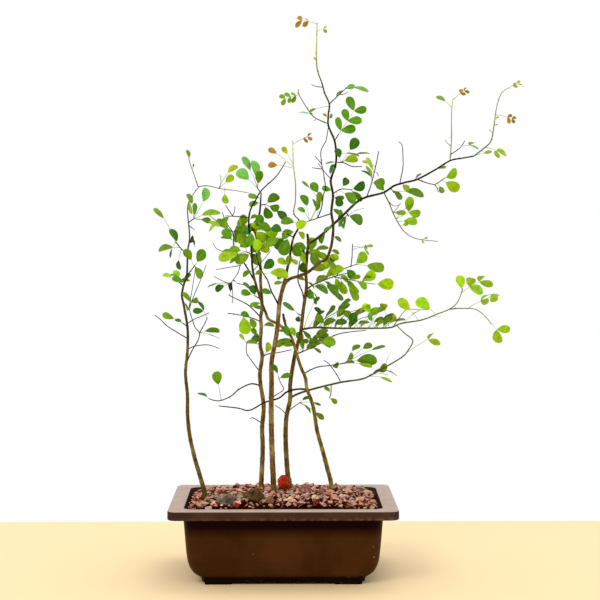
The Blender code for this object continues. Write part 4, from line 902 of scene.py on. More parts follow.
BUD_FIRST = (4.0, 9.0)
BUD_LAST = 3.0
BUD_PITCH = (9.0, 22.0)
BUD_SWING = 0.7
BUD_LEAN = 0.75
BUD_LONG = (0.7, 1.7)
BUD_THICK = (0.22, 0.4)
BUD_SHARE = 0.7
BUD_SUNK = 0.6
BUD_SHAPE = ((0.0, 0.9), (0.45, 1.0), (0.8, 0.7), (1.0, 0.2))
BUD_FRESH = 0.8
BUD_DARK = 0.4


def buds_on(grown, line, young, rng):
    """Short side buds and stubs, in turn on one side and the other."""
    points, radii, far = line
    at = rng.uniform(*BUD_FIRST)
    swing = rng.uniform(0, math.tau)
    while at < far[-1] - BUD_LAST:
        i = max(k for k, along in enumerate(far) if along <= at)
        ahead = (points[i + 1] - points[i]).normalized()
        across = ahead.orthogonal().normalized()
        over = ahead.cross(across)
        out = across * math.cos(swing) + over * math.sin(swing)
        way = (ahead * BUD_LEAN + out).normalized()
        long = rng.uniform(*BUD_LONG)
        thick = min(radii[i] * BUD_SHARE, rng.uniform(*BUD_THICK))
        side = way.orthogonal().normalized()
        up = way.cross(side)
        rings = []
        for part, wide in BUD_SHAPE:
            middle = points[i] + way * (radii[i] * BUD_SUNK + long * part)
            rings.append(thin_ring(middle, side, up, thick * wide))
        bud_facts = [(young * BUD_FRESH, BUD_DARK, 0.0)] * FINE_SIDES
        add_rings(grown, rings, [bud_facts] * len(rings), WHITE, 0)
        at += rng.uniform(*BUD_PITCH)
        swing += math.pi + rng.uniform(-BUD_SWING, BUD_SWING)


def leaf_frame(foot, tip, turn):
    """Ahead, side and normal of a compound leaf: face on to the front at turn 0, edge on at 90."""
    ahead = (tip - foot).normalized()
    flat = ahead.cross(Vector((0, 1, 0))).normalized()
    tilt = math.radians(turn)
    side = flat * math.cos(tilt) + ahead.cross(flat) * math.sin(tilt)
    normal = ahead.cross(side)
    if normal.dot(Vector((0, -0.5, 1))) < 0:
        side = -side
        normal = -normal
    return ahead, side, normal


LEAF_RISE = 0.05
LEAF_DROOP = 0.12


def leaf_point(foot, length, axes, along, beside, out=0.0):
    ahead, side, normal = axes
    part = along / length
    lift = LEAF_RISE * length * 4 * part * (1.0 - part) - LEAF_DROOP * abs(beside) + out
    return foot + ahead * along + side * beside + normal * lift


LEAF_CLEAR = 1.5
PAIR_PITCH = 0.84
LEAFLET_ANGLE = 50.0
LEAFLET_WAVER = 6.0
LEAFLET_SIZES = (0.9, 1.06)


def leaflet_places(length, pairs, leaflet, rng):
    """For each leaflet: its place along the stalk, its side, its angle and its length. With no
    pairs, one leaflet ends the stalk."""
    if not pairs:
        leaflet = min(leaflet, length - LEAF_CLEAR)
        return [(length - leaflet, 1, 0.0, leaflet)]
    if pairs > 1:
        leaflet = min(leaflet, (length - LEAF_CLEAR) / (pairs - 1) / PAIR_PITCH)
    pitch = leaflet * PAIR_PITCH
    places = []
    for k in range(pairs - 1, -1, -1):
        for sign in (-1, 1):
            angle = math.radians(LEAFLET_ANGLE + rng.uniform(-LEAFLET_WAVER, LEAFLET_WAVER))
            size = leaflet * rng.uniform(*LEAFLET_SIZES)
            places.append((length - pitch * k, sign, angle, size))
    return places


DEPTH_TRIES = 14
DEPTH_STEP = 3.0
TESTED_AT = (0.35, 0.8)
RACHIS_HALF = 0.45


def settled_tip(foot, tip_at, reach, pairs, leaflet, turn, seed, surface):
    """The leaf's tip as its solid has it: of the depths tried there, the one whose blade lies here."""
    best = None
    for attempt in range(DEPTH_TRIES):
        swing = DEPTH_STEP * ((attempt + 1) // 2) * (1 if attempt % 2 else -1)
        tip = place(*tip_at, foot.y + reach + swing)
        axes = leaf_frame(foot, tip, turn)
        length = (tip - foot).length
        miss = 0.0
        for station, sign, angle, size in leaflet_places(length, pairs, leaflet, random.Random(seed)):
            for out in TESTED_AT:
                along = station + size * out * math.cos(angle)
                beside = sign * (RACHIS_HALF + size * out * math.sin(angle))
                point = leaf_point(foot, length, axes, along, beside)
                miss = max(miss, surface.find_nearest(point)[3])
        if best is None or miss < best[0]:
            best = (miss, tip)
    return best[1]


LEAFLET_NARROWS = (0.9, 0.5)
LEAFLET_PEAK = 0.4015


def half_width(out):
    """A leaflet's half width at part of its length: narrow at its foot, widest past the middle."""
    foot, tip = LEAFLET_NARROWS
    return 0.5 * out ** foot * (1.0 - out) ** tip / LEAFLET_PEAK


LEAFLET_ROWS = (0.03, 0.1, 0.2, 0.32, 0.45, 0.58, 0.7, 0.81, 0.9, 0.96, 0.992)
LEAFLET_LINES = ((-1.0, 0), (-0.55, 1), (0.0, 1), (0.55, 1), (1.0, 0), (0.55, -1), (0.0, -1), (-0.55, -1))
LEAFLET_WIDE = 0.76
LEAF_THICK = 0.14
LEAFLET_FILLS = 8.0
LEAFLET_ROLL = 38.0
LEAFLET_PITCH = 18.0
LEAFLET_FOLD = (0.05, 0.3)
LEAFLET_CURL = (0.0, 0.22)
LEAFLET_WAVE = (0.0, 0.02)
LEAFLET_WAVES = 9.0


def add_leaflet(grown, where, size, tint, rng, loose, curl):
    """A leaflet as a thin lens, folded at its midrib and curled. where gives a point from how far
    out, how wide and how proud, each as a share of the length."""
    roll = math.radians(rng.uniform(-LEAFLET_ROLL, LEAFLET_ROLL)) * loose
    pitch = math.radians(rng.uniform(-LEAFLET_PITCH, LEAFLET_PITCH)) * loose
    fold = rng.uniform(*LEAFLET_FOLD)
    droop = rng.uniform(*LEAFLET_CURL) * curl
    wave = rng.uniform(*LEAFLET_WAVE)
    start = rng.uniform(0, math.tau)
    rings = []
    facts = []
    for out in LEAFLET_ROWS:
        half = half_width(out) * LEAFLET_WIDE
        ring = []
        for line, face in LEAFLET_LINES:
            wide = line * half
            proud = wide * math.sin(roll) + out * math.sin(pitch) + fold * abs(wide) - droop * out ** 2
            proud += wave * math.sin(start + out * LEAFLET_WAVES + line) * abs(line)
            proud += face * LEAF_THICK / size * (1.0 - line * line) * min(1.0, out * LEAFLET_FILLS)
            ring.append(where(out, wide * math.cos(roll), proud))
        rings.append(ring)
        facts.append([(out, line, 1.0 if face < 0 else 0.0) for line, face in LEAFLET_LINES])
    add_rings(grown, rings, facts, tint, 1)


LEAF_TONES = {
    "dark": linear(54, 130, 12),
    "green": linear(106, 174, 10),
    "bright": linear(180, 226, 14),
    "olive": linear(132, 178, 12),
    "pale": linear(136, 214, 100),
    "yellow": linear(204, 208, 20),
    "orange": linear(200, 150, 38),
    "dead": linear(56, 38, 20),
}
TINT_LIGHT = (0.88, 1.24)
TINT_WARM = (0.9, 1.2)


def tinted(tone, rng):
    """A leaf tone, a little lighter or darker and a little greener or yellower."""
    red, green, blue, _ = LEAF_TONES[tone]
    light = rng.uniform(*TINT_LIGHT)
    warm = rng.uniform(*TINT_WARM)
    return (min(red * light * warm, 1.0), min(green * light, 1.0), min(blue * light, 1.0), 1.0)


STALK_STEP = 2.0
STALK_INTO = 0.4
STALK_THICK = 0.34
STALK_SWELL = 0.08
STALK_FOOT = 6.0
STALK_TAPER = 0.1
STALK_FACTS = (0.85, 0.35, 0.0)
STALK_GAP = 0.1
SINGLE_LOOSE = 0.4
DEAD_CURL = 3.0
LEAFLET_FULL = (0.88, 1.12)
PAIRED_NARROW = 0.86


def add_leaf(grown, foot, tip, pairs, leaflet, turn, tone, seed):
    """A leaf: a thin stalk with its pairs of leaflets, or with one leaflet at its end."""
    axes = leaf_frame(foot, tip, turn)
    length = (tip - foot).length
    places = leaflet_places(length, pairs, leaflet, random.Random(seed))
    rng = random.Random(seed + 1)
    stalk = length if pairs else places[0][0] + STALK_INTO
    steps = max(4, round(stalk / STALK_STEP))
    rings = []
    facts = []
    for i in range(steps + 1):
        part = i / steps
        middle = leaf_point(foot, length, axes, stalk * part, 0.0)
        thick = STALK_THICK - STALK_SWELL * min(part * STALK_FOOT, 1.0) - STALK_TAPER * part
        rings.append(thin_ring(middle, axes[1], axes[2], thick))
        facts.append([STALK_FACTS] * FINE_SIDES)
    add_rings(grown, rings, facts, WHITE, 0)
    loose = 1.0 if pairs else SINGLE_LOOSE
    curl = DEAD_CURL if tone == "dead" else 1.0
    for station, sign, angle, size in places:
        size *= rng.uniform(*LEAFLET_FULL) if pairs else 1.0
        slim = PAIRED_NARROW if pairs else 1.0

        def where(out, wide, proud):
            along = station + size * (out * math.cos(angle) - wide * slim * math.sin(angle))
            beside = sign * (STALK_GAP + size * (out * math.sin(angle) + wide * slim * math.cos(angle)))
            return leaf_point(foot, length, axes, along, beside, proud * size)

        add_leaflet(grown, where, size, tinted(tone, rng), rng, loose, curl)


GROWN_SHARP = 60.0


def grown_piece(name, grown, materials):
    mesh = bpy.data.meshes.new(name)
    mesh.from_pydata([(x * MM, y * MM, z * MM) for x, y, z in grown["points"]], [], grown["faces"])
    for material in materials:
        mesh.materials.append(material)
    mesh.polygons.foreach_set("material_index", grown["finish"])
    mesh.attributes.new("growth", "FLOAT_VECTOR", "POINT")
    mesh.attributes["growth"].data.foreach_set("vector", np.array(grown["facts"], np.float32).ravel())
    mesh.attributes.new("tint", "FLOAT_COLOR", "POINT")
    mesh.attributes["tint"].data.foreach_set("color", np.array(grown["tint"], np.float32).ravel())
    mesh.shade_smooth()
    mesh.set_sharp_from_angle(angle=math.radians(GROWN_SHARP))
    piece = bpy.data.objects.new(name, mesh)
    bpy.context.scene.collection.objects.link(piece)
    return piece


def bark(name, dark, main, pale, twig, green, stout=1.5, slim=0.8):
    """Thin bark: long grain and pale pores on the trunk, near black on twigs, green on new shoots."""
    material, shader = finish(name, 0.75, 0.03)
    where = in_place(material)
    facts = put(material, "Attribute", attribute_name="growth").outputs["Vector"]
    young, radius, _ = parts_of(material, facts)
    grain_at = stretched(material, where, (1.0, 1.0, 0.22))
    grain = mottle(material, grain_at, 900.0, 5.0)
    cloud = mottle(material, where, 75.0)
    wood = blend(material, spread(material, grain, 0.4, 0.62), dark, main)
    wood = blend(material, spread(material, cloud, 0.5, 0.68), wood, pale)
    pores = pits(material, stretched(material, where, (1.0, 1.0, 0.6)), 420.0, 0.16, 0.08)
    wood = blend(material, times(material, pores, 0.6), wood, pale)
    thin = spread(material, radius, stout, slim)
    wood = blend(material, times(material, thin, 0.98), wood, twig)
    fresh = blend(material, spread(material, cloud, 0.4, 0.6), green, linear(136, 158, 46))
    colour = blend(material, young, wood, fresh)
    rough = spread(material, grain, 0.35, 0.65, 0.55, 0.85)
    height = sum_of(material, "ADD", grain, times(material, pores, 0.5))
    join_up(material, shader, colour, rough, height, 0.22)
    return material


def leaf_blade():
    """Leaf: its own tint, mottled, a paler midrib and side veins, a paler back, and light through it."""
    material, shader = finish("leaf_blade", 0.42, 0.16)
    where = in_place(material)
    facts = put(material, "Attribute", attribute_name="growth").outputs["Vector"]
    out, line, under = parts_of(material, facts)
    tint = put(material, "Attribute", attribute_name="tint").outputs["Color"]
    beside = sum_of(material, "ABSOLUTE", line)
    midrib = spread(material, beside, 0.11, 0.03)
    slant = sum_of(material, "SUBTRACT", out, times(material, beside, 0.3))
    veins = spread(material, sum_of(material, "SINE", times(material, slant, 52.0)), 0.72, 1.0)
    ribs = sum_of(material, "MAXIMUM", midrib, times(material, veins, 0.4))
    cloud = mottle(material, where, 240.0)
    cloudy = spread(material, cloud, 0.35, 0.65)
    shaded = blend(material, cloudy, linear(208, 220, 198), linear(255, 255, 255))
    colour = blend(material, 1.0, tint, shaded, "MULTIPLY")
    colour = blend(material, times(material, ribs, 0.2), colour, linear(196, 216, 70))
    colour = blend(material, times(material, under, 0.18), colour, linear(176, 200, 110))
    spots = spread(material, mottle(material, where, 520.0, 2.0), 0.7, 0.74)
    colour = blend(material, times(material, spots, 0.2), colour, linear(110, 84, 30))
    rough = spread(material, cloud, 0.3, 0.7, 0.36, 0.5)
    height = sum_of(material, "ADD", ribs, times(material, cloud, 0.4))
    join_up(material, shader, colour, rough, height, 0.06)
    glow = put(material, "BsdfTranslucent", {"Color": colour})
    through_it = put(material, "MixShader", {0: 0.38, 1: shader.outputs[0], 2: glow.outputs[0]})
    surface = material.node_tree.nodes["Material Output"].inputs["Surface"]
    material.node_tree.links.new(through_it.outputs[0], surface)
    return material


THICK_LIMB = 2.0
TRUNK_SIDES = 16
LIMB_SIDES = 12
TWIG_SIDES = 8
FINE_TWIG = (0.95, 0.6)
LEAF_SEEDS = 100


def grow_tree(tree, bark_finish, leaf_finish):
    """The tree's bare wood as one piece, and each leafy shoot as one piece."""
    routes = lay_wood(tree)
    trunk = tree["trunk"][0]
    young = tree["young"]
    rng = random.Random(tree["first_leaf"] + 1)
    order = list(tree["leaves"])
    for node, names in [(tree["node"], tree["wood"])] + list(tree["shoots"].items()):
        grown = new_growth()
        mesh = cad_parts[node].data
        points = [vert.co / MM for vert in mesh.vertices]
        surface = BVHTree.FromPolygons(points, [list(face.vertices) for face in mesh.polygons])
        for name in names:
            thick = max(routes[name][1]) * 2
            sides = TRUNK_SIDES if name == trunk else LIMB_SIDES if thick > THICK_LIMB else TWIG_SIDES
            flare = FLARE if name == trunk else 0.0
            tip = tree["fresh_tips"].get(name, 0.0)
            line = limb(grown, *routes[name], sides, young.get(name, 0.0), rng, flare, tip)
            buds_on(grown, line, young.get(name, 0.0), rng)
            for number, leaf in enumerate(tree["leaves"].get(name, ())):
                foot_at, tip_at, reach, pairs, leaflet, turn, tone = leaf
                seed = LEAF_SEEDS * (tree["first_leaf"] + order.index(name)) + number
                foot = on_route(routes[name][0], *foot_at)
                tip = settled_tip(foot, tip_at, reach, pairs, leaflet, turn, seed, surface)
                add_leaf(grown, foot, tip, pairs, leaflet, turn, tone, seed)
            for foot_at, tip_at, reach, leaflet, turn, tone in tree["small"].get(name, ()):
                foot = on_route(routes[name][0], *foot_at)
                tip = place(*tip_at, foot.y + reach)
                add_leaf(grown, foot, tip, 0, leaflet, turn, tone, rng.randrange(LEAF_SEEDS))
            for reach, plan in tree["fine"].get(name, ()):
                root = on_route(routes[name][0], *plan[0])
                bare = [place(*at, root.y + reach * k / len(plan)) for k, at in enumerate(plan)]
                bare[0] = root
                limb(grown, bare, tapered(bare, *FINE_TWIG, 1.0), TWIG_SIDES, young.get(name, 0.0), rng)
        piece = grown_piece(node + "_grown", grown, [bark_finish, leaf_finish])
        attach(piece, "root")
        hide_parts(node)
        slot = "bark" if node == tree["node"] else "leaf_green"
        "leaf_young" if node in tree["young_nodes"] else slot


# In the tables a place is (across, up) as seen from the front. A branch has the wood it springs
# from, its thickness at both ends, its end's depth and its route. A leaf has its foot and tip, how
# far it reaches back, its pairs, its leaflets' length, its turn and its tone. Small ones lack pairs.
tree_1 = {
    "node": "tree_1",
    "first_leaf": 0,
    "trunk": ("t1", 4.4, 0.9, 1.1, -12, -5, [(-66, 50), (-72.8, 78), (-79.2, 100), (-83.9, 120),
        (-86.3, 140), (-86.5, 160), (-88.2, 180), (-86.4, 200), (-86.3, 220), (-89.5, 240), (-91.3, 250),
        (-89.5, 260), (-86.9, 268), (-86, 290), (-84.3, 303), (-86.2, 328), (-82.8, 338), (-75.7, 348)]),
    "branches": {
        "t1_tip": ("t1", 1.0, 0.8, -9, [(-76.5, 346.8), (-80, 358), (-84.5, 371), (-85, 379)]),
        "t1_bare": ("t1", 1.1, 0.8, -22, [(-86.5, 211), (-94, 215.5), (-105, 222.5), (-110, 227.5),
            (-115.5, 232)]),
        "t1_low": ("t1", 1.0, 0.8, 6, [(-86.4, 201), (-80, 204), (-68, 205.2), (-58, 202)]),
        "t1_cross": ("t1", 1.0, 0.8, 12, [(-87, 224.5), (-80, 228.5), (-75.5, 230.3), (-67, 234)]),
        "arch": ("t1", 1.0, 0.8, -24, [(-75.7, 348), (-67.7, 348.5), (-55.7, 345.8), (-40.6, 343.9),
            (-28.9, 341.6)]),
        "spur_1a": ("t1", 1.1, 1.0, -9, [(-85.3, 315), (-80.5, 319)]),
        "spur_1b": ("t1", 1.1, 1.0, -12, [(-86.9, 268), (-83, 272.5), (-79.5, 277)]),
        "spur_1c": ("t1", 1.1, 1.0, -14, [(-86, 289), (-90, 290), (-97, 298)]),
        "spur_1d": ("t1", 1.1, 1.0, -2, [(-89.8, 258), (-94, 262)]),
        "spur_1e": ("t1", 1.1, 1.0, -13, [(-86.3, 222), (-91, 225)]),
        "fork": ("t1", 1.2, 0.9, -22, [(-87.3, 189), (-82, 200.5), (-77, 209), (-75.6, 216), (-80, 222),
            (-85, 238)]),
        "fork_b": ("fork", 1.0, 0.9, -16, [(-75.6, 216), (-71, 224), (-68.6, 229.5)]),
    },
    "wood": ["t1", "t1_tip", "t1_bare", "t1_low", "t1_cross"],
    "shoots": {
        "shoot_1_arch": ["arch"],
        "shoot_1_top": ["spur_1a"],
        "shoot_1_mid": ["spur_1b"],
        "shoot_1_out": ["spur_1c"],
        "shoot_1_back": ["spur_1d"],
        "shoot_1_side": ["spur_1e"],
        "shoot_1_fork": ["fork", "fork_b"],
    },
    "young_nodes": [],
    "young": {"t1": 0.12, "arch": 1.0, "t1_tip": 0.9, "fork": 0.3},
    "fresh_tips": {"t1": 0.9},
    "leaves": {
        "arch": [((-58, 346), (-45.0, 357.5), -3, 0, 9, 10, "bright"),
            ((-58, 346), (-43, 368), -3, 0, 10, 55, "bright"),
            ((-53, 345.3), (-51.5, 332.5), 3, 0, 9, 30, "bright")],
        "spur_1a": [((-80.5, 319), (-57, 325.5), -8, 0, 18, 50, "bright"),
            ((-80.7, 318.8), (-65, 316.5), 3, 0, 9, 50, "green"),
            ((-80.6, 318.6), (-57, 312.5), -2, 0, 12, 55, "bright"),
            ((-80.7, 318.8), (-67, 346), 5, 0, 13, 30, "pale"),
            ((-80.9, 318.8), (-79.5, 333), -3, 0, 11, 55, "green")],
        "spur_1b": [((-79.5, 277), (-71.5, 290.0), -6, 0, 12, 15, "green"),
            ((-80, 276.5), (-73.0, 266.5), 3, 0, 11, 35, "green"),
            ((-80.5, 276), (-88, 291.5), -3, 0, 11, 30, "olive")],
        "spur_1c": [((-97, 298), (-115, 329), -6, 0, 12, 65, "olive"),
            ((-95.5, 296), (-100.5, 310), 4, 0, 13, 50, "dark"),
            ((-93, 293), (-112, 290), 6, 0, 14, 65, "olive"), ((-92, 292), (-95, 273), 5, 0, 9, 30, "dark")],
        "spur_1d": [((-94, 262), (-108, 269), 8, 0, 9, 40, "bright"),
            ((-94, 262), (-97, 273), 5, 0, 9, 25, "bright"),
            ((-92, 260), (-83.5, 269), 9, 0, 10, 55, "dark")],
        "spur_1e": [((-91, 225), (-109, 232.5), -7, 0, 11, 60, "olive")],
        "fork": [((-84.5, 236), (-83, 244), 3, 1, 10, 25, "olive")],
        "fork_b": [((-68.8, 229), (-72, 236), -4, 1, 9, 55, "dark"),
            ((-75.6, 216), (-57.5, 218), 5, 0, 14, 72, "green"),
            ((-75.6, 216), (-57, 212), 3, 0, 14, 75, "green")],
    },
    "small": {
        "t1": [((-83.5, 300), (-77.5, 296), -3, 7, 60, "dead"),
            ((-86.5, 296), (-80, 303), 3, 8, 40, "dead"), ((-90, 262), (-101, 270), 4, 8, 70, "olive"),
            ((-85, 336), (-84, 323), 2, 11, 50, "bright"), ((-90, 261), (-99, 267), -2, 12, 44, "green"),
            ((-90, 246), (-86, 236), 2, 8, 50, "olive")],
        "t1_tip": [((-84.6, 372), (-86, 381), 1, 8, 60, "olive"),
            ((-82, 364), (-80, 368), 1, 4, 50, "olive")],
        "spur_1c": [((-97, 298), (-103, 284), 1, 9, 60, "dead")],
        "spur_1a": [((-80.5, 319), (-84.5, 342), 2, 10, 40, "olive")],
        "spur_1d": [((-94, 262), (-84.5, 264), -4, 11, 50, "green")],
        "arch": [((-57, 346), (-57, 359), 2, 8, 70, "bright")],
        "spur_1e": [((-90, 224.8), (-97, 229), 4, 7, 40, "dark")],
    },
    "fine": {
        "fork": [(3, [(-81.5, 241), (-79.5, 252), (-74, 265), (-69.5, 277)]),
            (-3, [(-83, 244), (-81, 262), (-79, 276)])],
        "t1": [(3, [(-85.2, 313), (-80, 309)])],
    },
}
bark_1 = bark("bark_olive", linear(56, 36, 6), linear(106, 76, 26), linear(140, 116, 62), linear(26, 15, 5),
              linear(124, 150, 46))
leaf_finish = leaf_blade()
grow_tree(tree_1, bark_1, leaf_finish)


# Tree 2, behind the middle: a slim straight trunk that carries its leaves in the dense middle of
# the crown, with long fine side shoots. Its bark is brown and smooth.
tree_2 = {
    "node": "tree_2",
    "first_leaf": 8,
    "trunk": ("t2", 4.6, 1.2, 0.6, 28, 24, [(-20.5, 50), (-20, 78), (-18.6, 110), (-19.1, 130),
        (-17.7, 150), (-20.6, 170), (-21, 180), (-19, 195), (-20.8, 205), (-19.9, 220), (-20.3, 230),
        (-19.1, 240), (-20.5, 262), (-20.6, 275), (-24, 302), (-27.5, 312), (-21.7, 322.4),
        (-19.9, 342)]),
    "branches": {
        "t2_limb": ("t2", 1.3, 0.9, 45, [(-20.2, 230), (-27, 237), (-33, 242), (-44, 247.5), (-49, 250)]),
        "t2_twig": ("t2", 1.0, 0.8, 40, [(-19.8, 250.5), (-32, 258), (-42, 261)]),
        "t2_stub": ("t2", 1.1, 0.9, 36, [(-18.9, 134), (-27, 139), (-30, 138.5)]),
        "two_left": ("t2", 1.1, 0.9, 38, [(-21, 181), (-28, 190), (-33, 198), (-33, 207)]),
        "two_mid": ("t2", 1.1, 0.9, 14, [(-20, 226), (-30, 230), (-44, 233), (-50, 233.5)]),
        "two_low": ("t2", 1.4, 1.0, 19, [(-20.4, 168), (-29, 170), (-40, 165), (-47, 159), (-56, 155),
            (-62, 155), (-67, 156.5)]),
        "two_right": ("t2", 1.1, 0.9, 17, [(-19, 194.5), (-13.5, 197), (-4.4, 198.2), (6.9, 200.7)]),
        "two_high": ("t2", 1.1, 1.0, 26, [(-20.9, 331), (-16, 331.8)]),
        "two_spur": ("t2", 1.1, 1.0, 22, [(-20.3, 212), (-24, 213)]),
    },
    "wood": ["t2", "t2_limb", "t2_twig", "t2_stub"],
    "shoots": {
        "shoot_2_left": ["two_left"],
        "shoot_2_mid": ["two_mid"],
        "shoot_2_low": ["two_low"],
        "shoot_2_right": ["two_right"],
        "shoot_2_high": ["two_high"],
        "shoot_2_spur": ["two_spur"],
    },
    "young_nodes": [],
    "young": {"two_left": 0.3, "two_low": 0.2},
    "fresh_tips": {},
    "leaves": {
        "two_left": [((-33, 206), (-21.0, 213.0), 5, 0, 12, 20, "green")],
        "two_mid": [((-36, 231.8), (-33.5, 215.0), -4, 0, 16, 10, "bright"),
            ((-31, 230.3), (-25, 222), 4, 0, 10, 40, "olive")],
        "two_low": [((-56, 155), (-60.5, 181), -3, 0, 12, 5, "olive"),
            ((-67, 156.5), (-76, 163.5), 4, 0, 10, 78, "dark")],
        "two_right": [((-18, 195.3), (-11.5, 207.0), 4, 0, 10, 35, "bright")],
        "two_high": [((-16, 331.8), (-4.5, 341.0), -4, 0, 13, 30, "green"),
            ((-17, 331.7), (-12.0, 319.5), 5, 0, 12, 10, "green"),
            ((-16, 331.8), (-3.5, 327.0), 3, 0, 10, 20, "green"),
            ((-16, 331.8), (3.0, 320.0), 6, 0, 11, 35, "dark")],
        "two_spur": [((-23, 212.8), (-28, 220), -3, 0, 9, 50, "olive")],
    },
    "small": {
        "t2_limb": [((-48.5, 250), (-47, 261), -2, 8, 50, "dead")],
        "t2_twig": [((-42, 261), (-45, 264), 1, 4, 40, "dead")],
        "t2": [((-20.5, 337), (-31, 341), -2, 10, 46, "green"),
            ((-21, 333), (-31, 332), 2, 10, 50, "olive"), ((-20, 205), (-33, 209), 3, 11, 56, "olive"),
            ((-20, 222), (-8, 223.5), -3, 10, 66, "olive")],
        "two_mid": [((-29, 229.6), (-38, 234), -3, 12, 56, "green")],
        "two_left": [((-33, 206), (-39.5, 215), -3, 8, 50, "bright")],
    },
    "fine": {
    },
}
bark_2 = bark("bark_brown", linear(70, 50, 16), linear(128, 102, 44), linear(164, 138, 82), linear(28, 15, 5),
              linear(112, 132, 44))
grow_tree(tree_2, bark_2, leaf_finish)


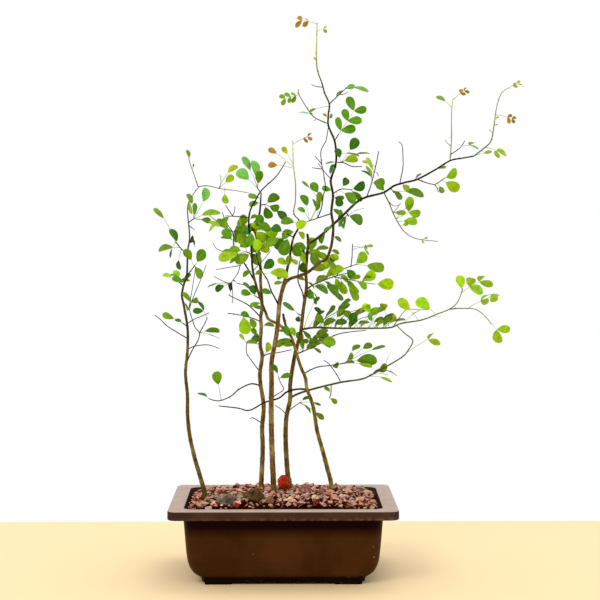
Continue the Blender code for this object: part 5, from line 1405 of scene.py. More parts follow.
# Tree 3, in front: the thickest trunk, red-brown and rough, forked at half its height. One limb
# rises to the top of the whole forest and ends in a thin pale shoot.
tree_3 = {
    "node": "tree_3",
    "first_leaf": 14,
    "trunk": ("t3", 5.3, 3.6, 1.0, 0, -1, [(-8.5, 50), (-8.9, 80), (-10.2, 110), (-10.9, 145),
        (-10.6, 170), (-10.5, 190), (-7.7, 205), (-5.4, 220), (-3.7, 240), (-2, 250), (1.6, 263)]),
    "branches": {
        "t3_up": ("t3", 3.0, 1.5, -4, [(-1, 254), (3, 271), (5.7, 284), (8.9, 301), (13.3, 310),
            (14, 318)]),
        "t3_limb": ("t3", 3.0, 1.0, -12, [(0.4, 259), (5.4, 264.4), (12.9, 267), (22.7, 271),
            (32.5, 279.5), (38.5, 282.5), (42.3, 290.8), (44.2, 300), (45.1, 312.2), (43.4, 325),
            (44.8, 340), (42.9, 353.3), (46.8, 366), (47.8, 376), (46.2, 389), (40.8, 402.3),
            (40.6, 412.8), (41.5, 422), (37.4, 431.7), (34.9, 440.7), (30.2, 456), (30.2, 483)]),
        "three_low": ("t3", 1.0, 0.8, -13, [(-10.8, 157), (-4, 161.5), (0.5, 165), (-2, 170),
            (-4.5, 176)]),
        "three_red": ("t3", 1.5, 0.9, -22, [(-3.7, 240), (-6.7, 246), (-11.2, 254.6), (-14.2, 263.6),
            (-21, 275), (-25, 290)]),
        "three_crown": ("t3_up", 1.2, 1.0, -9, [(9.5, 302.5), (3, 305)]),
        "pale": ("t3_up", 1.2, 0.9, -12, [(14, 318), (9.5, 324), (11, 336), (11, 351), (9.1, 367.6),
            (8.6, 389)]),
        "inner": ("t3_limb", 1.2, 0.9, -20, [(43.5, 324), (35.5, 321), (21.9, 316.4)]),
        "inner_rise": ("inner", 1.1, 0.8, -26, [(31, 319.4), (34.6, 329), (36.2, 340.5), (38.1, 346),
            (36.6, 358), (34.7, 368), (34, 380), (38.5, 389.4), (40.6, 401.5)]),
        "right_low": ("t3_limb", 1.1, 0.9, 6, [(44.8, 341.5), (52, 345.5), (62, 345)]),
        "right_mid": ("t3_limb", 1.1, 0.9, -22, [(47.2, 369.5), (54, 369.5), (62, 366), (71, 366)]),
        "right_face": ("t3_limb", 1.1, 1.0, -11, [(46.2, 389), (49.8, 395)]),
        "high_right": ("t3_limb", 1.1, 0.9, -19, [(41.5, 422), (46, 426.5), (54, 434), (57, 437)]),
        "high_left": ("t3_limb", 1.1, 0.9, -24, [(40.7, 404.5), (34, 407), (27, 411), (21, 419),
            (14, 431), (14, 435)]),
        "top": ("t3_limb", 1.0, 0.8, -13, [(30.2, 483), (30.5, 495)]),
    },
    "wood": ["t3", "t3_up", "t3_limb"],
    "shoots": {
        "shoot_3_low": ["three_low"],
        "shoot_3_red": ["three_red"],
        "shoot_3_crown": ["three_crown"],
        "shoot_3_pale": ["pale"],
        "shoot_3_inner": ["inner", "inner_rise"],
        "shoot_3_right_low": ["right_low"],
        "shoot_3_right_mid": ["right_mid"],
        "shoot_3_face": ["right_face"],
        "shoot_3_high_right": ["high_right"],
        "shoot_3_high_left": ["high_left"],
        "shoot_3_top": ["top"],
    },
    "young_nodes": ["shoot_3_pale", "shoot_3_top"],
    "young": {"pale": 1.0, "top": 0.9, "high_left": 0.3},
    "fresh_tips": {"t3_limb": 1.0},
    "leaves": {
        "three_low": [((-3.5, 174.5), (6, 179.5), 3, 0, 10, 60, "green"),
            ((-4.5, 176), (-8.5, 187.5), -3, 0, 9, 72, "dark")],
        "three_red": [((-24.8, 288), (-23, 300), -3, 0, 12, 20, "bright"),
            ((-9.5, 251), (-19, 254.5), -4, 0, 10, 55, "green"),
            ((-19.5, 272.5), (-9.0, 280.5), -4, 0, 11, 15, "dark"),
            ((-17.5, 269), (5, 270.5), -4, 0, 17, 35, "bright")],
        "three_crown": [((3, 305), (-10.0, 312.5), 6, 0, 11, 10, "dark"),
            ((4, 304.6), (-8.5, 292.5), 4, 0, 13, 15, "dark"),
            ((3.5, 304.8), (-15.0, 296.5), -5, 0, 12, 20, "olive"),
            ((5, 304.2), (-1, 287), -6, 0, 15, 10, "green"),
            ((8, 303.2), (14.0, 285.0), -3, 0, 12, 40, "green")],
        "pale": [((9.3, 366.5), (0.0, 383.5), -4, 0, 7, 15, "yellow"),
            ((9.3, 365.5), (-12.5, 382.5), -5, 0, 8, 20, "orange"),
            ((8.8, 386), (22, 392.5), 3, 2, 5, 50, "orange")],
        "inner": [((23.5, 317), (18.5, 341.0), 4, 0, 11, 35, "green"),
            ((24, 317), (34.0, 343.0), 2, 0, 13, 45, "olive"),
            ((25, 317.3), (32.5, 335.5), 6, 0, 11, 45, "green"),
            ((22.5, 316.6), (11.5, 312), -3, 0, 13, 5, "bright")],
        "inner_rise": [((35.3, 333.5), (26, 351.5), -4, 0, 10, 20, "green")],
        "right_low": [((52, 345.5), (58, 355.5), 4, 0, 9, 20, "dark"),
            ((60, 345), (74.5, 349.5), 4, 0, 13, 20, "dark"),
            ((60, 345), (71, 336.5), 3, 0, 13, 60, "green"),
            ((50, 344.5), (66, 335), -3, 0, 13, 35, "green"),
            ((48, 343), (51.5, 330), -3, 0, 10, 30, "dark")],
        "right_mid": [((52, 369.5), (67, 391), -4, 0, 12, 15, "dark"),
            ((51.5, 369.5), (67, 374), -3, 0, 12, 35, "bright"),
            ((51.5, 369.5), (48.5, 382.5), 3, 0, 9, 35, "dark")],
        "right_face": [((49.5, 394.5), (63.5, 416), -3, 3, 12.5, 10, "green")],
        "high_right": [((55, 435.5), (63.5, 439.5), 2, 0, 9, 55, "pale"),
            ((57, 437), (77, 434.5), -2, 0, 14, 80, "pale"),
            ((47, 427.5), (52.5, 435), -4, 0, 8, 70, "pale")],
        "high_left": [((14.3, 430.5), (2, 427), -2, 3, 5.8, 10, "olive"),
            ((26, 412), (14, 415.5), 4, 0, 10, 72, "pale")],
        "top": [((30.4, 494), (17, 497), -2, 2, 7, 30, "orange"),
            ((30.3, 487), (36, 489), 3, 1, 5, 40, "yellow")],
    },
    "small": {
        "t3_limb": [((42, 367), (46, 361), -3, 6, 75, "dark"),
            ((40.8, 408), (44, 413), 2, 6, 50, "green"), ((30.2, 460), (27.5, 464), 1, 4, 50, "yellow"),
            ((41.5, 420), (23, 415), 3, 8, 70, "green"), ((32, 279), (27, 288), -3, 11.5, 44, "olive"),
            ((40, 286), (50, 283), 3, 12.5, 48, "bright"),
            ((44.5, 303), (53, 300), -3, 11.5, 44, "olive"),
            ((44.6, 338), (55, 337), 3, 11.5, 48, "green"),
            ((44.3, 344), (35, 347), -2, 11.5, 44, "green"), ((25, 272.5), (37, 277), 2, 12, 42, "olive"),
            ((47.8, 376), (68, 378), 2, 12, 74, "green"), ((38.5, 282.5), (48, 276), 3, 13, 46, "olive"),
            ((42, 290), (51, 289), -3, 12, 50, "olive"), ((45, 312), (36, 308), 3, 11, 50, "green"),
            ((43.6, 328), (52, 324), 3, 11, 50, "green"), ((39, 408), (36.5, 414), 2, 4.5, 30, "orange")],
        "t3_up": [((4.5, 277), (-4, 283), -3, 11.5, 44, "bright"),
            ((6.8, 290), (15, 296), 3, 11.5, 48, "olive"), ((12, 308), (20, 302), -3, 11.5, 46, "bright"),
            ((13.6, 315), (-2, 317), 2, 12, 40, "green"), ((12, 308), (-2, 304), 3, 12, 40, "green"),
            ((3, 271.5), (5, 286), -2, 10, 50, "bright"), ((5.5, 283), (13, 279), 3, 11, 46, "bright"),
            ((2.5, 269.5), (-6, 266), 3, 10, 50, "olive")],
        "t3": [((0.8, 262), (-8, 261), -3, 10, 52, "olive")],
        "inner": [((31, 319.2), (28, 337), 3, 11, 56, "green"),
            ((24, 317), (14.5, 330), 5, 8, 40, "green")],
        "high_left": [((28, 412), (24, 414.5), 1, 4, 40, "orange"),
            ((31, 410.5), (28, 407), -1, 4, 40, "orange")],
        "pale": [((9.2, 364.5), (-13.5, 367.5), -6, 8, 35, "orange")],
        "inner_rise": [((35, 331), (17.5, 353), -8, 9, 55, "olive")],
        "right_mid": [((52, 369.5), (77, 380), -6, 12, 80, "green"),
            ((48.5, 369.5), (38, 369), 5, 9, 55, "green"),
            ((48.5, 369.5), (40.5, 361), 5, 10, 65, "dark")],
    },
    "fine": {
        "inner_rise": [(2, [(34.7, 368), (28.7, 375.2)]), (-2, [(35.5, 363.5), (26, 364.8)])],
        "t3_limb": [(-3, [(43.2, 354.5), (39, 359), (31.7, 368.4)]),
            (2, [(35.5, 437), (29, 438), (25.6, 439.5)])],
        "high_right": [(2, [(50, 431), (55, 431), (58, 433)])],
    },
}
bark_3 = bark("bark_red_brown", linear(76, 50, 16), linear(130, 100, 52), linear(164, 136, 86),
              linear(30, 15, 5), linear(190, 218, 64), 1.9, 0.9)
grow_tree(tree_3, bark_3, leaf_finish)


# Tree 4, at the back right of the middle: it sends long level shoots to the right, and a rising
# limb that reaches past the pot's end.
tree_4 = {
    "node": "tree_4",
    "first_leaf": 26,
    "trunk": ("t4", 4.9, 2.3, 0.9, 33, 26, [(6, 50), (5.6, 78), (3.8, 90), (2.1, 120), (2.9, 140),
        (6, 155), (6.3, 170), (8.5, 185), (11.3, 200), (15.5, 215), (17.8, 235), (20.9, 257), (20.5, 270),
        (21.9, 291), (22.7, 297), (21.8, 304.5)]),
    "branches": {
        "t4_diag": ("t4", 2.5, 1.3, -20, [(22.6, 296), (29.5, 300.5), (39.3, 308.5), (52.8, 321),
            (65.6, 333.3), (74.3, 338.2), (90.5, 342.6), (99.5, 348.4), (109.3, 351.5), (120.6, 354.4),
            (135.7, 362.3), (150.4, 371.2), (162, 373.6), (171.8, 375.4)]),
        "t4_stub": ("t4", 1.0, 0.8, 38, [(2.9, 141.5), (-2, 147), (-7.5, 150.7)]),
        "t4_rise": ("t4_diag", 1.0, 0.8, -4, [(105, 350.2), (107.5, 363), (108, 370), (107, 385),
            (104, 388)]),
        "upper": ("t4", 2.0, 0.9, -16, [(16, 219), (29.5, 220.8), (50, 220.1), (77.7, 220.1),
            (96.5, 220.7), (106.3, 224.4), (125.1, 227.6), (138.7, 232.8), (150.7, 237.7), (157.7, 244.3),
            (162, 256)]),
        "upper_drop": ("upper", 1.1, 0.8, -26, [(149.5, 237.2), (160, 238), (174, 237), (184, 229),
            (187.5, 224)]),
        "mid_low": ("t4", 1.3, 0.9, 44, [(10.5, 196), (20.4, 200.4), (32.5, 206), (49.8, 214.9),
            (74.3, 218.3)]),
        "low": ("t4", 2.0, 1.0, -6, [(6.1, 157), (15.1, 161.6), (31.7, 166.5), (52.8, 171.4), (70.2, 174),
            (79.2, 177.8), (92, 184.9), (107.1, 193.9), (113.1, 200.7), (116.9, 209), (109.3, 215.8),
            (103, 222)]),
        "low_rise": ("low", 1.0, 0.9, 24, [(51.5, 171.1), (49, 177), (42, 187), (37, 191)]),
        "low_drop": ("low", 1.0, 0.9, 14, [(43, 169), (43, 161), (41.5, 157)]),
        "mid": ("t4", 1.4, 0.9, 42, [(20.6, 254.5), (27.2, 259.5), (36.2, 263.3), (49.1, 267.8),
            (57.3, 269.7)]),
        "mid_up": ("mid", 1.1, 0.9, 48, [(48, 267.4), (53, 273), (62, 276.5), (67, 278)]),
        "mid_along": ("mid", 1.1, 0.9, 34, [(45, 266.3), (60, 264), (72, 261.5), (82, 260)]),
        "mid_tip": ("mid_up", 1.0, 0.9, 44, [(61, 276.1), (62, 285), (62.5, 296)]),
        "second": ("t4", 1.4, 1.0, 44, [(18.9, 243), (17.5, 252), (13.2, 264), (14.8, 281)]),
        "four_top": ("t4", 1.1, 1.0, 23, [(21.7, 288), (26, 288.6)]),
        "four_inner": ("t4", 1.1, 1.0, 26, [(17.4, 231), (13, 233.5)]),
        "four_foot": ("t4", 1.0, 0.9, 28, [(3.9, 144.5), (8, 148), (15, 153)]),
        "diag_low": ("t4_diag", 1.1, 1.0, 14, [(56.6, 324.6), (59, 321)]),
        "diag_up": ("t4_diag", 1.1, 0.9, 2, [(75, 338.4), (79, 349), (83, 365), (86, 379.5)]),
        "diag_mid": ("t4_diag", 1.1, 1.0, 1, [(97, 346.8), (99.6, 342.5)]),
        "diag_down": ("t4_diag", 1.2, 0.8, -12, [(90.5, 342.6), (95, 334), (101, 320), (109, 307.5),
            (120, 301), (139.5, 298.5)]),
        "diag_fork": ("t4_diag", 1.1, 0.8, -12, [(120.6, 354.4), (130, 351), (137, 349), (140, 343)]),
        "diag_fork_b": ("diag_fork", 1.0, 0.8, -7, [(136, 349.3), (142, 353), (146, 356)]),
        "diag_stem": ("t4_diag", 1.1, 0.8, -20, [(150.6, 371.3), (151.5, 390), (151.5, 408), (152, 420),
            (153, 427)]),
        "diag_stem_b": ("diag_stem", 1.0, 0.8, -16, [(150.9, 377), (159, 382.5), (163.5, 389)]),
        "end": ("t4_diag", 1.3, 0.8, -30, [(171.8, 375.4), (180.8, 382.4), (187, 388.7), (189.6, 400.5),
            (191.7, 416.7), (194.7, 428), (198, 433.6), (203.7, 436.9)]),
    },
    "wood": ["t4", "t4_stub", "t4_diag", "t4_rise"],
    "shoots": {
        "shoot_4_upper": ["upper", "upper_drop"],
        "shoot_4_mid_low": ["mid_low"],
        "shoot_4_low": ["low", "low_rise", "low_drop"],
        "shoot_4_mid": ["mid", "mid_up", "mid_along", "mid_tip"],
        "shoot_4_second": ["second"],
        "shoot_4_top": ["four_top"],
        "shoot_4_inner": ["four_inner"],
        "shoot_4_foot": ["four_foot"],
        "shoot_4_diag_low": ["diag_low"],
        "shoot_4_diag_up": ["diag_up"],
        "shoot_4_diag_mid": ["diag_mid"],
        "shoot_4_diag_down": ["diag_down"],
        "shoot_4_diag_fork": ["diag_fork", "diag_fork_b"],
        "shoot_4_diag_stem": ["diag_stem", "diag_stem_b"],
        "shoot_4_end": ["end"],
    },
    "young_nodes": [],
    "young": {"diag_stem": 1.0, "diag_down": 0.5, "end": 0.75, "upper_drop": 0.5, "mid_along": 0.4,
        "upper": 0.35, "low": 0.3},
    "fresh_tips": {},
    "leaves": {
        "upper": [((37, 220.8), (60.5, 246.5), 6, 0, 13, 55, "green"),
            ((33, 220.8), (47.5, 240), 8, 0, 10, 55, "olive"),
            ((42, 220.5), (55.5, 237.5), -6, 0, 11, 30, "olive"),
            ((40, 220.6), (30.5, 232), -4, 0, 10, 30, "olive"),
            ((33, 220.8), (46.5, 228.5), -8, 0, 11, 45, "green"),
            ((46, 220.4), (56.5, 228), -6, 0, 10, 35, "dark"),
            ((60, 220.2), (64.5, 233.5), -3, 0, 11, 5, "dark"),
            ((62, 220.1), (77, 228.5), -8, 0, 12, 40, "green"),
            ((50, 220.2), (74.5, 238.5), 8, 0, 15, 65, "olive"),
            ((84, 220.3), (73.5, 243), 6, 0, 11, 25, "bright"),
            ((70, 220.1), (89, 239.5), -6, 0, 13, 45, "bright"),
            ((84, 220.3), (98.5, 235), -6, 0, 12, 45, "olive"),
            ((92, 220.6), (101, 232.5), 5, 0, 10, 15, "yellow"),
            ((68, 220.1), (55.5, 235.5), 3, 0, 10, 45, "olive"),
            ((77, 220.1), (90, 230.5), -4, 0, 10, 40, "green"),
            ((122.5, 227.3), (104.6, 246.5), -4, 0, 14, 20, "bright"),
            ((138, 232.6), (120.5, 246.5), 5, 0, 15, 25, "bright"),
            ((161.2, 254), (159, 268), 3, 0, 12, 10, "bright"),
            ((160.5, 252), (177, 262), -4, 2, 12, 30, "bright")],
        "upper_drop": [((166, 237.6), (187, 248), 5, 2, 11, 60, "bright"),
            ((185.5, 227), (193, 219), -4, 1, 13, 20, "bright")],
        "mid_low": [((18, 199.4), (13.5, 217), 4, 0, 11, 35, "olive"),
            ((22, 201), (40, 219), -5, 0, 15, 65, "olive"), ((18, 199.4), (32, 210), 4, 0, 15, 35, "olive"),
            ((28, 203.8), (47, 210), -5, 0, 14, 25, "bright"),
            ((18, 199.4), (0, 209.5), 6, 0, 12, 35, "olive"),
            ((14, 197.5), (7, 221), -4, 0, 9, 40, "bright")],
        "low": [((84, 180.5), (94.5, 186), 4, 0, 11, 30, "olive"),
            ((76, 176.4), (98, 174), 8, 0, 13, 72, "bright"),
            ((92, 184.9), (97, 198), -6, 0, 10, 68, "pale"),
            ((107, 193.8), (131, 210), -1, 1, 10.5, 45, "bright")],
        "low_rise": [((43, 185.6), (51, 187), 4, 0, 8, 25, "green")],
        "low_drop": [((41.7, 157.3), (48.5, 152.5), -3, 0, 8, 20, "olive")],
        "mid": [((38, 263.9), (46, 287), 3, 0, 9, 15, "dark"),
            ((34, 262.3), (41.5, 285.5), 5, 0, 14, 20, "bright"),
            ((40, 264.5), (53.5, 276), -5, 0, 13, 25, "bright"),
            ((34, 262.3), (46, 275.5), 6, 0, 13, 35, "bright"),
            ((27.5, 259.6), (39, 269), -5, 0, 13, 55, "olive"),
            ((24, 257.2), (24, 247), -3, 0, 10, 25, "green"),
            ((26, 258.6), (41.5, 254.5), -6, 0, 15, 40, "green"),
            ((32, 261.5), (51, 253), -4, 0, 14, 35, "green"),
            ((30, 260.7), (54.5, 246.5), 3, 0, 14, 65, "olive")],
        "mid_up": [((64, 277), (75.5, 287.5), 4, 0, 14, 15, "bright"),
            ((66, 277.7), (91, 273), 4, 0, 17, 35, "bright"),
            ((56, 274), (64.5, 265.5), -5, 0, 11, 10, "green")],
        "mid_along": [((70, 261.9), (83, 270), -3, 0, 13, 15, "bright"),
            ((76, 261), (99.5, 259.5), -5, 0, 15, 20, "bright"),
            ((55, 264.8), (67, 245.5), 5, 0, 15, 50, "bright")],
        "mid_tip": [((62.4, 294), (73, 292.5), -4, 1, 7, 60, "bright")],
        "second": [((14.7, 279), (19, 288), -4, 1, 10, 35, "dark")],
        "four_top": [((24, 288.3), (26.5, 302), 3, 0, 14, 5, "bright"),
            ((25.5, 288.5), (40, 295.5), -5, 0, 12, 50, "olive"),
            ((25.5, 288.5), (39, 285), 4, 0, 12, 50, "bright"),
            ((24, 288.3), (31, 276.5), 5, 0, 13, 25, "olive"),
            ((23, 288.2), (17, 271), -4, 0, 11, 30, "dark"),
            ((22.4, 288.1), (11.0, 293.0), -4, 0, 10, 10, "bright"),
            ((22, 288), (33, 287), -7, 0, 11, 20, "bright")],
        "four_inner": [((13, 233.5), (0, 243), -6, 0, 14, 60, "green"),
            ((15, 232.5), (12, 226), 3, 0, 8, 15, "dark")],
        "four_foot": [((14.5, 152.7), (24, 159.5), -4, 0, 9, 35, "dark"),
            ((15, 153), (34, 152), 2, 0, 9, 55, "green"), ((14.5, 152.7), (26, 145), -2, 0, 10, 58, "green"),
            ((15, 153), (36.5, 138), 4, 0, 10, 40, "olive")],
        "diag_low": [((58.5, 322), (72, 316), -4, 0, 15, 42, "green"),
            ((57.5, 323), (54, 312.5), 3, 0, 11, 60, "olive"),
            ((58, 322.3), (48, 314), 4, 0, 11, 62, "green")],
        "diag_up": [((79.5, 351), (92, 351), 4, 0, 12, 20, "olive"),
            ((82.5, 359), (76.5, 374.5), -4, 0, 13, 55, "bright"),
            ((81, 355), (71.5, 363.5), 3, 0, 11, 70, "dark")],
        "diag_mid": [((99.6, 343), (127, 342), -5, 0, 17, 60, "green")],
        "diag_down": [((102, 318.5), (113, 325), -3, 1, 12, 15, "bright"),
            ((103.5, 316), (120.5, 317), 3, 0, 12, 35, "bright"),
            ((102, 318.5), (117, 334), -5, 0, 12, 75, "green"),
            ((106, 312.2), (113.5, 316.5), 5, 0, 8, 35, "bright")],
        "diag_fork_b": [((144, 354.6), (157.5, 362), 3, 0, 13, 25, "bright"),
            ((143, 353.7), (159, 345.5), -3, 0, 14, 25, "bright")],
        "diag_stem": [((152.9, 426), (163, 434), -2, 2, 4.8, 50, "orange"),
            ((152, 419), (138.5, 430), 3, 0, 9, 50, "olive")],
        "diag_stem_b": [((160, 384), (168, 385), -4, 1, 10, 62, "pale")],
        "end": [((181.5, 383), (192, 380.5), 4, 1, 9, 65, "bright"),
            ((191.3, 413), (206, 409), -3, 2, 4.8, 40, "orange"),
            ((202.5, 436.2), (211, 440.5), 0, 2, 4.8, 50, "yellow")],
    },
    "small": {
        "mid": [((22, 256), (31, 247), 3, 11, 76, "pale"), ((22, 254), (31, 242.5), 5, 9, 78, "pale"),
            ((36, 263.2), (44, 257), -3, 12.5, 50, "olive"),
            ((43, 266), (47, 274), 3, 11.5, 44, "bright"),
            ((50, 268), (59, 263.5), -3, 12.5, 50, "bright")],
        "diag_up": [((83, 366), (71.5, 371.5), 3, 8, 45, "yellow"),
            ((82, 362), (87, 357.5), -2, 7, 75, "olive"), ((80, 352), (77, 367), 3, 12, 56, "bright")],
        "upper": [((128, 229), (142, 231), 3, 13, 78, "pale"),
            ((109, 225.5), (123, 236.5), -3, 12, 76, "olive"),
            ((26, 220.8), (33, 228), 3, 11.5, 48, "olive"),
            ((36, 220.6), (45, 230), -3, 12.5, 50, "green"),
            ((58, 220.1), (66, 229), 3, 12.5, 50, "olive"),
            ((82, 220.2), (90, 229), 3, 11.5, 50, "bright"),
            ((90, 220.4), (97, 232), -3, 12.5, 48, "green"),
            ((70, 220.1), (75, 228), -2, 11.5, 50, "bright"),
            ((16.5, 219), (24, 210.5), 3, 11.5, 52, "olive"),
            ((22, 220.8), (37, 236), -4, 12, 52, "dark"), ((32, 220.5), (46, 238), 4, 12, 54, "green"),
            ((40, 220.1), (58, 244), -5, 13, 54, "green"), ((52, 220), (67, 236), 3, 12, 56, "olive"),
            ((58, 220), (77, 243), -4, 12, 52, "bright"), ((68, 220.1), (85, 239), 4, 12, 50, "bright"),
            ((76, 220.2), (93, 242), -3, 11, 54, "bright"), ((46, 220.1), (51, 228), 3, 12, 62, "olive"),
            ((90, 221), (109, 230), 2, 11, 56, "olive"), ((18.5, 219.6), (31.5, 249), 4, 8, 60, "dark"),
            ((38, 220.7), (30, 240), 7, 9, 45, "dark"), ((96, 221), (89, 243), 5, 8, 30, "green"),
            ((82, 220.3), (77, 233), -9, 8, 30, "pale")],
        "t4_diag": [((60, 328), (66, 334), -4, 7, 60, "green"),
            ((118, 354), (124, 360), -3, 7, 70, "olive"),
            ((134, 361.5), (146.5, 366.5), -3, 8, 55, "olive"),
            ((92, 343.3), (84, 351), -3, 10.5, 42, "green"),
            ((107, 351), (113, 344), 3, 10.5, 44, "bright"), ((96, 345.5), (107, 337), 3, 9, 50, "green"),
            ((47, 316), (54, 326), 4, 10, 52, "green"), ((39, 308.3), (33, 297), 3, 11, 48, "green"),
            ((48, 316.5), (56, 311), -3, 12, 50, "green"), ((70, 336), (63, 341), 3, 10, 52, "olive")],
        "diag_down": [((126, 299.8), (130, 302.5), -1, 4, 40, "yellow"),
            ((124, 300), (127, 297), 1, 4, 40, "yellow"), ((99, 324), (110, 325), 3, 11, 40, "bright")],
        "end": [((171.8, 375.4), (188, 379), 3, 8, 70, "bright"),
            ((190.5, 408), (194, 411), -2, 3.2, 50, "yellow"),
            ((188.5, 396), (185.5, 399), -1, 2.6, 50, "olive"),
            ((190, 402), (193, 404.5), -1, 2.8, 50, "olive")],
        "t4": [((21, 286), (30, 291), 3, 11.5, 46, "bright"),
            ((21.8, 291), (13, 297), -3, 11.5, 48, "green"),
            ((20.6, 262), (12, 268), 2, 10.5, 48, "olive"),
            ((20.6, 275), (17, 288), -3, 11, 46, "bright"), ((14, 209), (23, 208), 3, 10, 50, "olive"),
            ((21.9, 291), (29, 299), 3, 12, 46, "bright"),
            ((20.7, 262), (29, 257.5), -3, 10, 54, "olive")],
        "mid_along": [((60, 264), (69, 268), 3, 12.5, 48, "bright"),
            ((70, 262), (79, 267), -3, 12.5, 50, "green"), ((56, 264.5), (64, 257), 2, 11.5, 48, "olive"),
            ((52, 265), (56, 251), -3, 13, 58, "bright"), ((60, 264), (65, 250), 3, 13, 40, "bright"),
            ((47, 266), (51, 258), -3, 10, 44, "bright"), ((66, 263), (76, 257), -2, 11, 46, "bright"),
            ((50, 265.8), (49.5, 255), 5, 8, 25, "bright")],
        "mid_low": [((26, 203), (34, 199), 3, 11.5, 52, "olive"),
            ((20, 200.4), (28, 207), -3, 12.5, 52, "green"),
            ((34, 207), (43, 204.5), 2, 11.5, 52, "olive"), ((22, 201), (27, 211), 2, 12, 48, "olive"),
            ((28, 204), (37, 211), -3, 13, 52, "olive"), ((33, 206.5), (44, 209), 3, 12, 56, "green"),
            ((30, 205), (39, 216), 4, 12, 50, "olive"), ((18, 199.4), (17, 209), -3, 10, 50, "olive"),
            ((24, 202), (31, 217), -4, 11, 54, "green")],
        "low": [((79, 178), (89, 184), 3, 10, 50, "olive"), ((80, 178.2), (95, 179), -3, 11, 74, "green"),
            ((86, 181.5), (103, 180), -6, 12, 72, "green")],
        "low_drop": [((43, 161.5), (37.5, 167), 3, 7, 60, "olive")],
        "mid_tip": [((62.3, 291), (81, 294.5), 3, 7, 55, "yellow")],
        "diag_low": [((58.5, 321.8), (72, 329), -8, 9, 72, "dark")],
        "diag_mid": [((98.5, 345), (106, 338.5), 3, 10, 50, "green")],
        "diag_fork_b": [((139, 351.2), (144, 342), 2, 7, 35, "olive")],
    },
    "fine": {
        "upper": [(-4, [(99.5, 222), (105, 230), (111.5, 237), (121, 236.8), (131, 237)]),
            (4, [(28, 221), (38, 229), (58, 240)]), (-6, [(46, 221), (52, 229), (64, 236), (75, 236)]),
            (5, [(60, 220.5), (68, 228), (84, 233)])],
        "diag_down": [(-2, [(94.5, 335), (99.5, 330.5), (105, 331.5)]),
            (3, [(99, 324), (103, 329), (106, 333)])],
        "diag_stem": [(-3, [(151, 384), (148, 387), (145.5, 390)])],
        "t4": [(-4, [(21, 286), (18, 290), (15.5, 295)])],
    },
}
bark_4 = bark("bark_dark", linear(60, 46, 8), linear(116, 96, 34), linear(150, 128, 60), linear(26, 15, 5),
              linear(172, 190, 62), 1.6, 0.85)
grow_tree(tree_4, bark_4, leaf_finish)


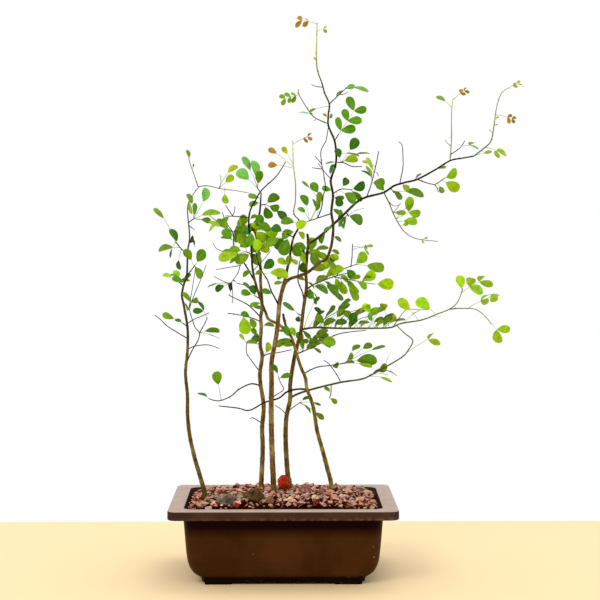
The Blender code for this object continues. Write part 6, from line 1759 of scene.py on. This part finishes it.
# Tree 5, at the right end: it leans left across the others and then rises through the crown.
# Its bark is olive-yellow on the lower trunk and dark above.
tree_5 = {
    "node": "tree_5",
    "first_leaf": 48,
    "trunk": ("t5", 4.3, 2.2, 0.9, 14, 12, [(44.5, 50), (43.3, 78), (40.7, 90), (35.4, 110), (30.5, 128),
        (26.8, 150), (21.5, 165), (20, 175), (15.9, 185), (12.7, 195), (8.3, 210), (3.2, 220), (0.8, 228),
        (0, 232.5)]),
    "branches": {
        "t5_lead": ("t5", 2.8, 0.9, -8, [(6, 214.5), (-3.7, 223.4), (-13.1, 228.3), (-16.1, 235),
            (-20, 245), (-25, 261), (-27.8, 275), (-28.5, 290), (-31, 312), (-30, 325.4), (-25.1, 335.2),
            (-19.1, 345), (-6, 357.4), (2, 370)]),
        "t5_left": ("t5", 1.8, 1.0, 0, [(21.5, 165), (12, 165), (3, 162.5), (-4, 157), (-17, 153),
            (-30.5, 146), (-41, 148), (-58, 150)]),
        "t5_side": ("t5_lead", 1.1, 0.8, -10, [(-30.6, 320), (-40, 320.8), (-52, 321.5)]),
        "t5_side_b": ("t5_side", 1.0, 0.8, -13, [(-45.5, 321.1), (-52, 331)]),
        "five_limb": ("t5_lead", 1.5, 0.8, 28, [(-25.3, 262), (-32.7, 275), (-38.7, 284), (-44.3, 292.3),
            (-45.3, 306), (-51.1, 315), (-54.9, 324.7)]),
        "five_limb_b": ("five_limb", 1.0, 0.8, 34, [(-46, 307.5), (-55.7, 313.4), (-66.2, 321.7)]),
        "five_limb_c": ("five_limb", 1.0, 0.8, 20, [(-45.3, 304), (-40.6, 315), (-38.3, 318)]),
        "five_hang": ("five_limb", 1.0, 0.8, 30, [(-37.5, 282), (-41, 270), (-48, 260)]),
        "five_right": ("t5", 1.2, 0.9, -4, [(18.4, 179), (29.5, 184.6), (42.3, 186.6), (56.2, 188.5)]),
        "five_face": ("t5_lead", 1.1, 1.0, -7, [(-20.8, 342.5), (-23.5, 347)]),
        "five_crown": ("t5_lead", 1.1, 1.0, -1, [(-30.5, 308), (-26, 309.5)]),
        "five_side": ("t5_lead", 1.1, 1.0, 2, [(-28.4, 287), (-33, 289)]),
        "five_low": ("t5_lead", 1.1, 1.0, 5, [(-20.6, 247), (-25, 249)]),
        "five_in": ("t5", 1.1, 1.0, 8, [(9.4, 206.5), (5.5, 209.5)]),
    },
    "wood": ["t5", "t5_lead", "t5_left", "t5_side", "t5_side_b"],
    "shoots": {
        "shoot_5_limb": ["five_limb", "five_limb_b", "five_limb_c", "five_hang"],
        "shoot_5_right": ["five_right"],
        "shoot_5_face": ["five_face"],
        "shoot_5_crown": ["five_crown"],
        "shoot_5_side": ["five_side"],
        "shoot_5_low": ["five_low"],
        "shoot_5_in": ["five_in"],
    },
    "young_nodes": [],
    "young": {"five_limb_b": 0.3},
    "fresh_tips": {},
    "leaves": {
        "five_limb": [((-44.6, 296), (-37.0, 308.0), -4, 0, 13, 10, "green"),
            ((-44.7, 297), (-53.5, 310.0), 3, 0, 12, 15, "green"),
            ((-45.2, 303), (-56.5, 317.5), 6, 0, 11, 30, "olive"),
            ((-43.5, 291), (-29.5, 299.5), -6, 0, 12, 15, "green")],
        "five_limb_c": [((-42.5, 310.5), (-33.0, 321.5), 4, 0, 12, 15, "olive"),
            ((-41.5, 313), (-30.0, 306.5), -4, 0, 12, 15, "pale"),
            ((-39.5, 316.5), (-21.5, 309.5), 2, 0, 12, 25, "green")],
        "five_hang": [((-47.5, 260.5), (-61.5, 255), 4, 0, 10, 25, "dark"),
            ((-47.5, 260.5), (-68.5, 259), 2, 0, 10, 65, "green")],
        "five_right": [((56.2, 188.5), (67.5, 206.5), -5, 0, 9, 35, "green"),
            ((56, 188.5), (79.5, 206.5), -3, 0, 9, 35, "green"),
            ((56, 188.5), (92, 204), -7, 0, 13, 58, "green"),
            ((56.2, 188.5), (84, 192.5), 5, 0, 18, 40, "green"),
            ((56.2, 188.5), (80.5, 185.5), 2, 0, 13, 62, "bright")],
        "five_face": [((-23.2, 346.5), (-37, 374.5), -3, 0, 14, 60, "pale"),
            ((-23.2, 346.5), (-26.5, 371.5), 3, 0, 16, 40, "pale"),
            ((-23.2, 346.5), (-41, 363), 5, 0, 14, 15, "pale"),
            ((-23.2, 346.5), (-20.8, 361.5), -5, 0, 11, 15, "green")],
        "five_crown": [((-26, 309.5), (-11.0, 313.0), -6, 0, 13, 25, "green"),
            ((-26, 309.5), (-4.5, 306.0), 5, 0, 13, 5, "bright"),
            ((-26.8, 309.2), (-15.0, 298.0), 5, 0, 14, 5, "bright"),
            ((-28.8, 308.7), (-30.5, 295.5), -4, 0, 12, 15, "green"),
            ((-27, 309), (-6.0, 296.5), 8, 0, 14, 35, "green"),
            ((-26.4, 309.3), (-19.0, 322.0), 3, 0, 12, 30, "green")],
        "five_side": [((-33, 289), (-58.0, 282.5), -7, 0, 18, 40, "bright"),
            ((-33, 289), (-49.5, 292.0), 4, 0, 12, 25, "olive"),
            ((-29.5, 287.5), (-43, 280.5), -3, 0, 16, 10, "olive"),
            ((-31, 288), (-20.5, 279.5), 5, 0, 13, 30, "green"),
            ((-31.5, 288.3), (-20.0, 297.5), 6, 0, 14, 20, "green"),
            ((-30, 287.6), (-11.5, 294.0), -5, 0, 13, 15, "bright"),
            ((-32.8, 289), (-38.5, 305.5), -3, 0, 13, 15, "olive")],
        "five_low": [((-25, 249), (-37, 254), -4, 0, 9, 25, "green"),
            ((-25, 249), (-28.5, 259), -3, 0, 9, 20, "dark")],
        "five_in": [((6, 209.1), (1.5, 222), -4, 0, 10, 30, "green"),
            ((6, 209.1), (-7, 206), 3, 0, 11, 40, "olive")],
    },
    "small": {
        "t5_lead": [((-30.6, 318), (-24, 323), -3, 8, 40, "green"),
            ((-26, 268), (-20, 272), 3, 7, 50, "olive"), ((-27.5, 272), (-37, 268), 3, 11.5, 34, "olive"),
            ((-28, 283), (-20, 288), 4, 11.5, 46, "green"),
            ((-28.4, 292), (-17, 296), -3, 12.5, 48, "olive"),
            ((-30, 303), (-38, 300), 2, 12.5, 50, "olive"),
            ((-31, 310), (-42, 309), -4, 13.5, 52, "green"),
            ((-29.8, 314), (-20, 312), 5, 11.5, 46, "bright"),
            ((-16.5, 236), (-26, 241), 3, 11.5, 50, "olive"),
            ((-19, 243), (-30, 240.5), -3, 11.5, 52, "olive")],
        "five_limb": [((-38, 283), (-49, 281), 4, 13.5, 52, "olive"),
            ((-43, 290), (-55, 288), -3, 14.5, 54, "olive"),
            ((-45, 300), (-56, 303), 3, 13.5, 52, "green"),
            ((-46, 308), (-36, 305), -4, 12.5, 48, "olive"),
            ((-52, 317), (-61, 314), 2, 12.5, 52, "olive")],
        "five_limb_b": [((-58, 315), (-68, 309), 3, 12.5, 52, "bright"),
            ((-50, 311), (-60, 318), -3, 11.5, 50, "olive")],
        "five_limb_c": [((-43, 309), (-33, 312), 3, 11.5, 48, "green")],
        "t5_side": [((-38, 321), (-40, 311), 2, 11.5, 48, "olive"),
            ((-48, 321.3), (-56, 315), -3, 11.5, 50, "olive")],
        "five_right": [((50, 187.6), (64, 190), 2, 9, 56, "green"),
            ((55, 188.3), (63.5, 197), 4, 8, 20, "olive")],
        "t5": [((8, 210), (-2, 208.5), -3, 12, 54, "olive"), ((5, 216), (-4, 219), 3, 10, 50, "green")],
        "five_low": [((-24.8, 249), (-36, 261.5), 3, 10, 60, "green")],
    },
    "fine": {
        "t5_lead": [(-4, [(-27, 272), (-20.5, 279), (-16, 284), (-11.5, 290)])],
        "five_limb": [(5, [(-40, 286), (-50, 288), (-60, 292), (-63, 297)])],
        "five_hang": [(3, [(-39.5, 277), (-50, 275), (-60.5, 273)]),
            (-4, [(-48, 260), (-55, 263), (-62.5, 267)]), (4, [(-46.5, 262), (-45.5, 250), (-46, 243)])],
        "t5_side": [(2, [(-46, 321.1), (-44, 325), (-43.5, 330)])],
    },
}
bark_5 = bark("bark_yellow", linear(68, 52, 8), linear(134, 112, 42), linear(170, 146, 66), linear(26, 16, 5),
              linear(112, 132, 44))
grow_tree(tree_5, bark_5, leaf_finish)


# The place it is seen in: a plain pale table top that ends a little behind the pot, white light from
# all round, one large soft lamp from the upper left in front, and the camera level with the crown.
FLOOR_BACK = 0.25
FLOOR_REACH = 3.0
CAMERA_AT = (POT_ACROSS * MM, -1.454, 0.308)
CAMERA_LENS = 96.8
CAMERA_DOWN = 1.23
CAMERA_SHIFT = -0.0575
CAMERA_RIGHT = 0.595

bm = bmesh.new()
corners = ((-FLOOR_REACH, -FLOOR_REACH), (FLOOR_REACH, -FLOOR_REACH), (FLOOR_REACH, FLOOR_BACK),
           (-FLOOR_REACH, FLOOR_BACK))
bm.faces.new([bm.verts.new((x / MM, y / MM, 0.0)) for x, y in corners])
pale, pale_shader = finish("pale_table", 0.6)
pale_shader.inputs["Base Color"].default_value = linear(242, 214, 166)
floor = made_piece("floor", bm, [pale])


def soft_lamp(name, at, towards, size, watts):
    lamp = bpy.data.lights.new(name, "AREA")
    lamp.shape = "DISK"
    lamp.size = size
    lamp.energy = watts
    obj = bpy.data.objects.new(name, lamp)
    obj.location = at
    obj.rotation_euler = (Vector(towards) - Vector(at)).to_track_quat("-Z", "Y").to_euler()
    bpy.context.scene.collection.objects.link(obj)


soft_lamp("key_lamp", (-0.9, -1.3, 1.5), (0.0, 0.0, 0.2), 0.9, 12.0)
soft_lamp("top_lamp", (0.3, 0.4, 1.7), (0.0, 0.0, 0.2), 1.0, 6.0)

world = bpy.data.worlds.new("white_room")
bpy.context.scene.world = world
world.use_nodes = True
world.node_tree.nodes["Background"].inputs["Color"].default_value = (1.0, 1.0, 1.0, 1.0)
world.node_tree.nodes["Background"].inputs["Strength"].default_value = 1.0
bpy.context.scene.view_settings.view_transform = "Standard"

camera_data = bpy.data.cameras.new("photo_camera")
camera_data.lens = CAMERA_LENS
camera_data.shift_y = CAMERA_SHIFT
camera = bpy.data.objects.new("photo_camera", camera_data)
camera.location = CAMERA_AT
camera.rotation_euler = (math.radians(90.0 - CAMERA_DOWN), 0.0, math.radians(-CAMERA_RIGHT))
bpy.context.scene.collection.objects.link(camera)
bpy.context.scene.camera = camera

bpy.context.view_layer.update()
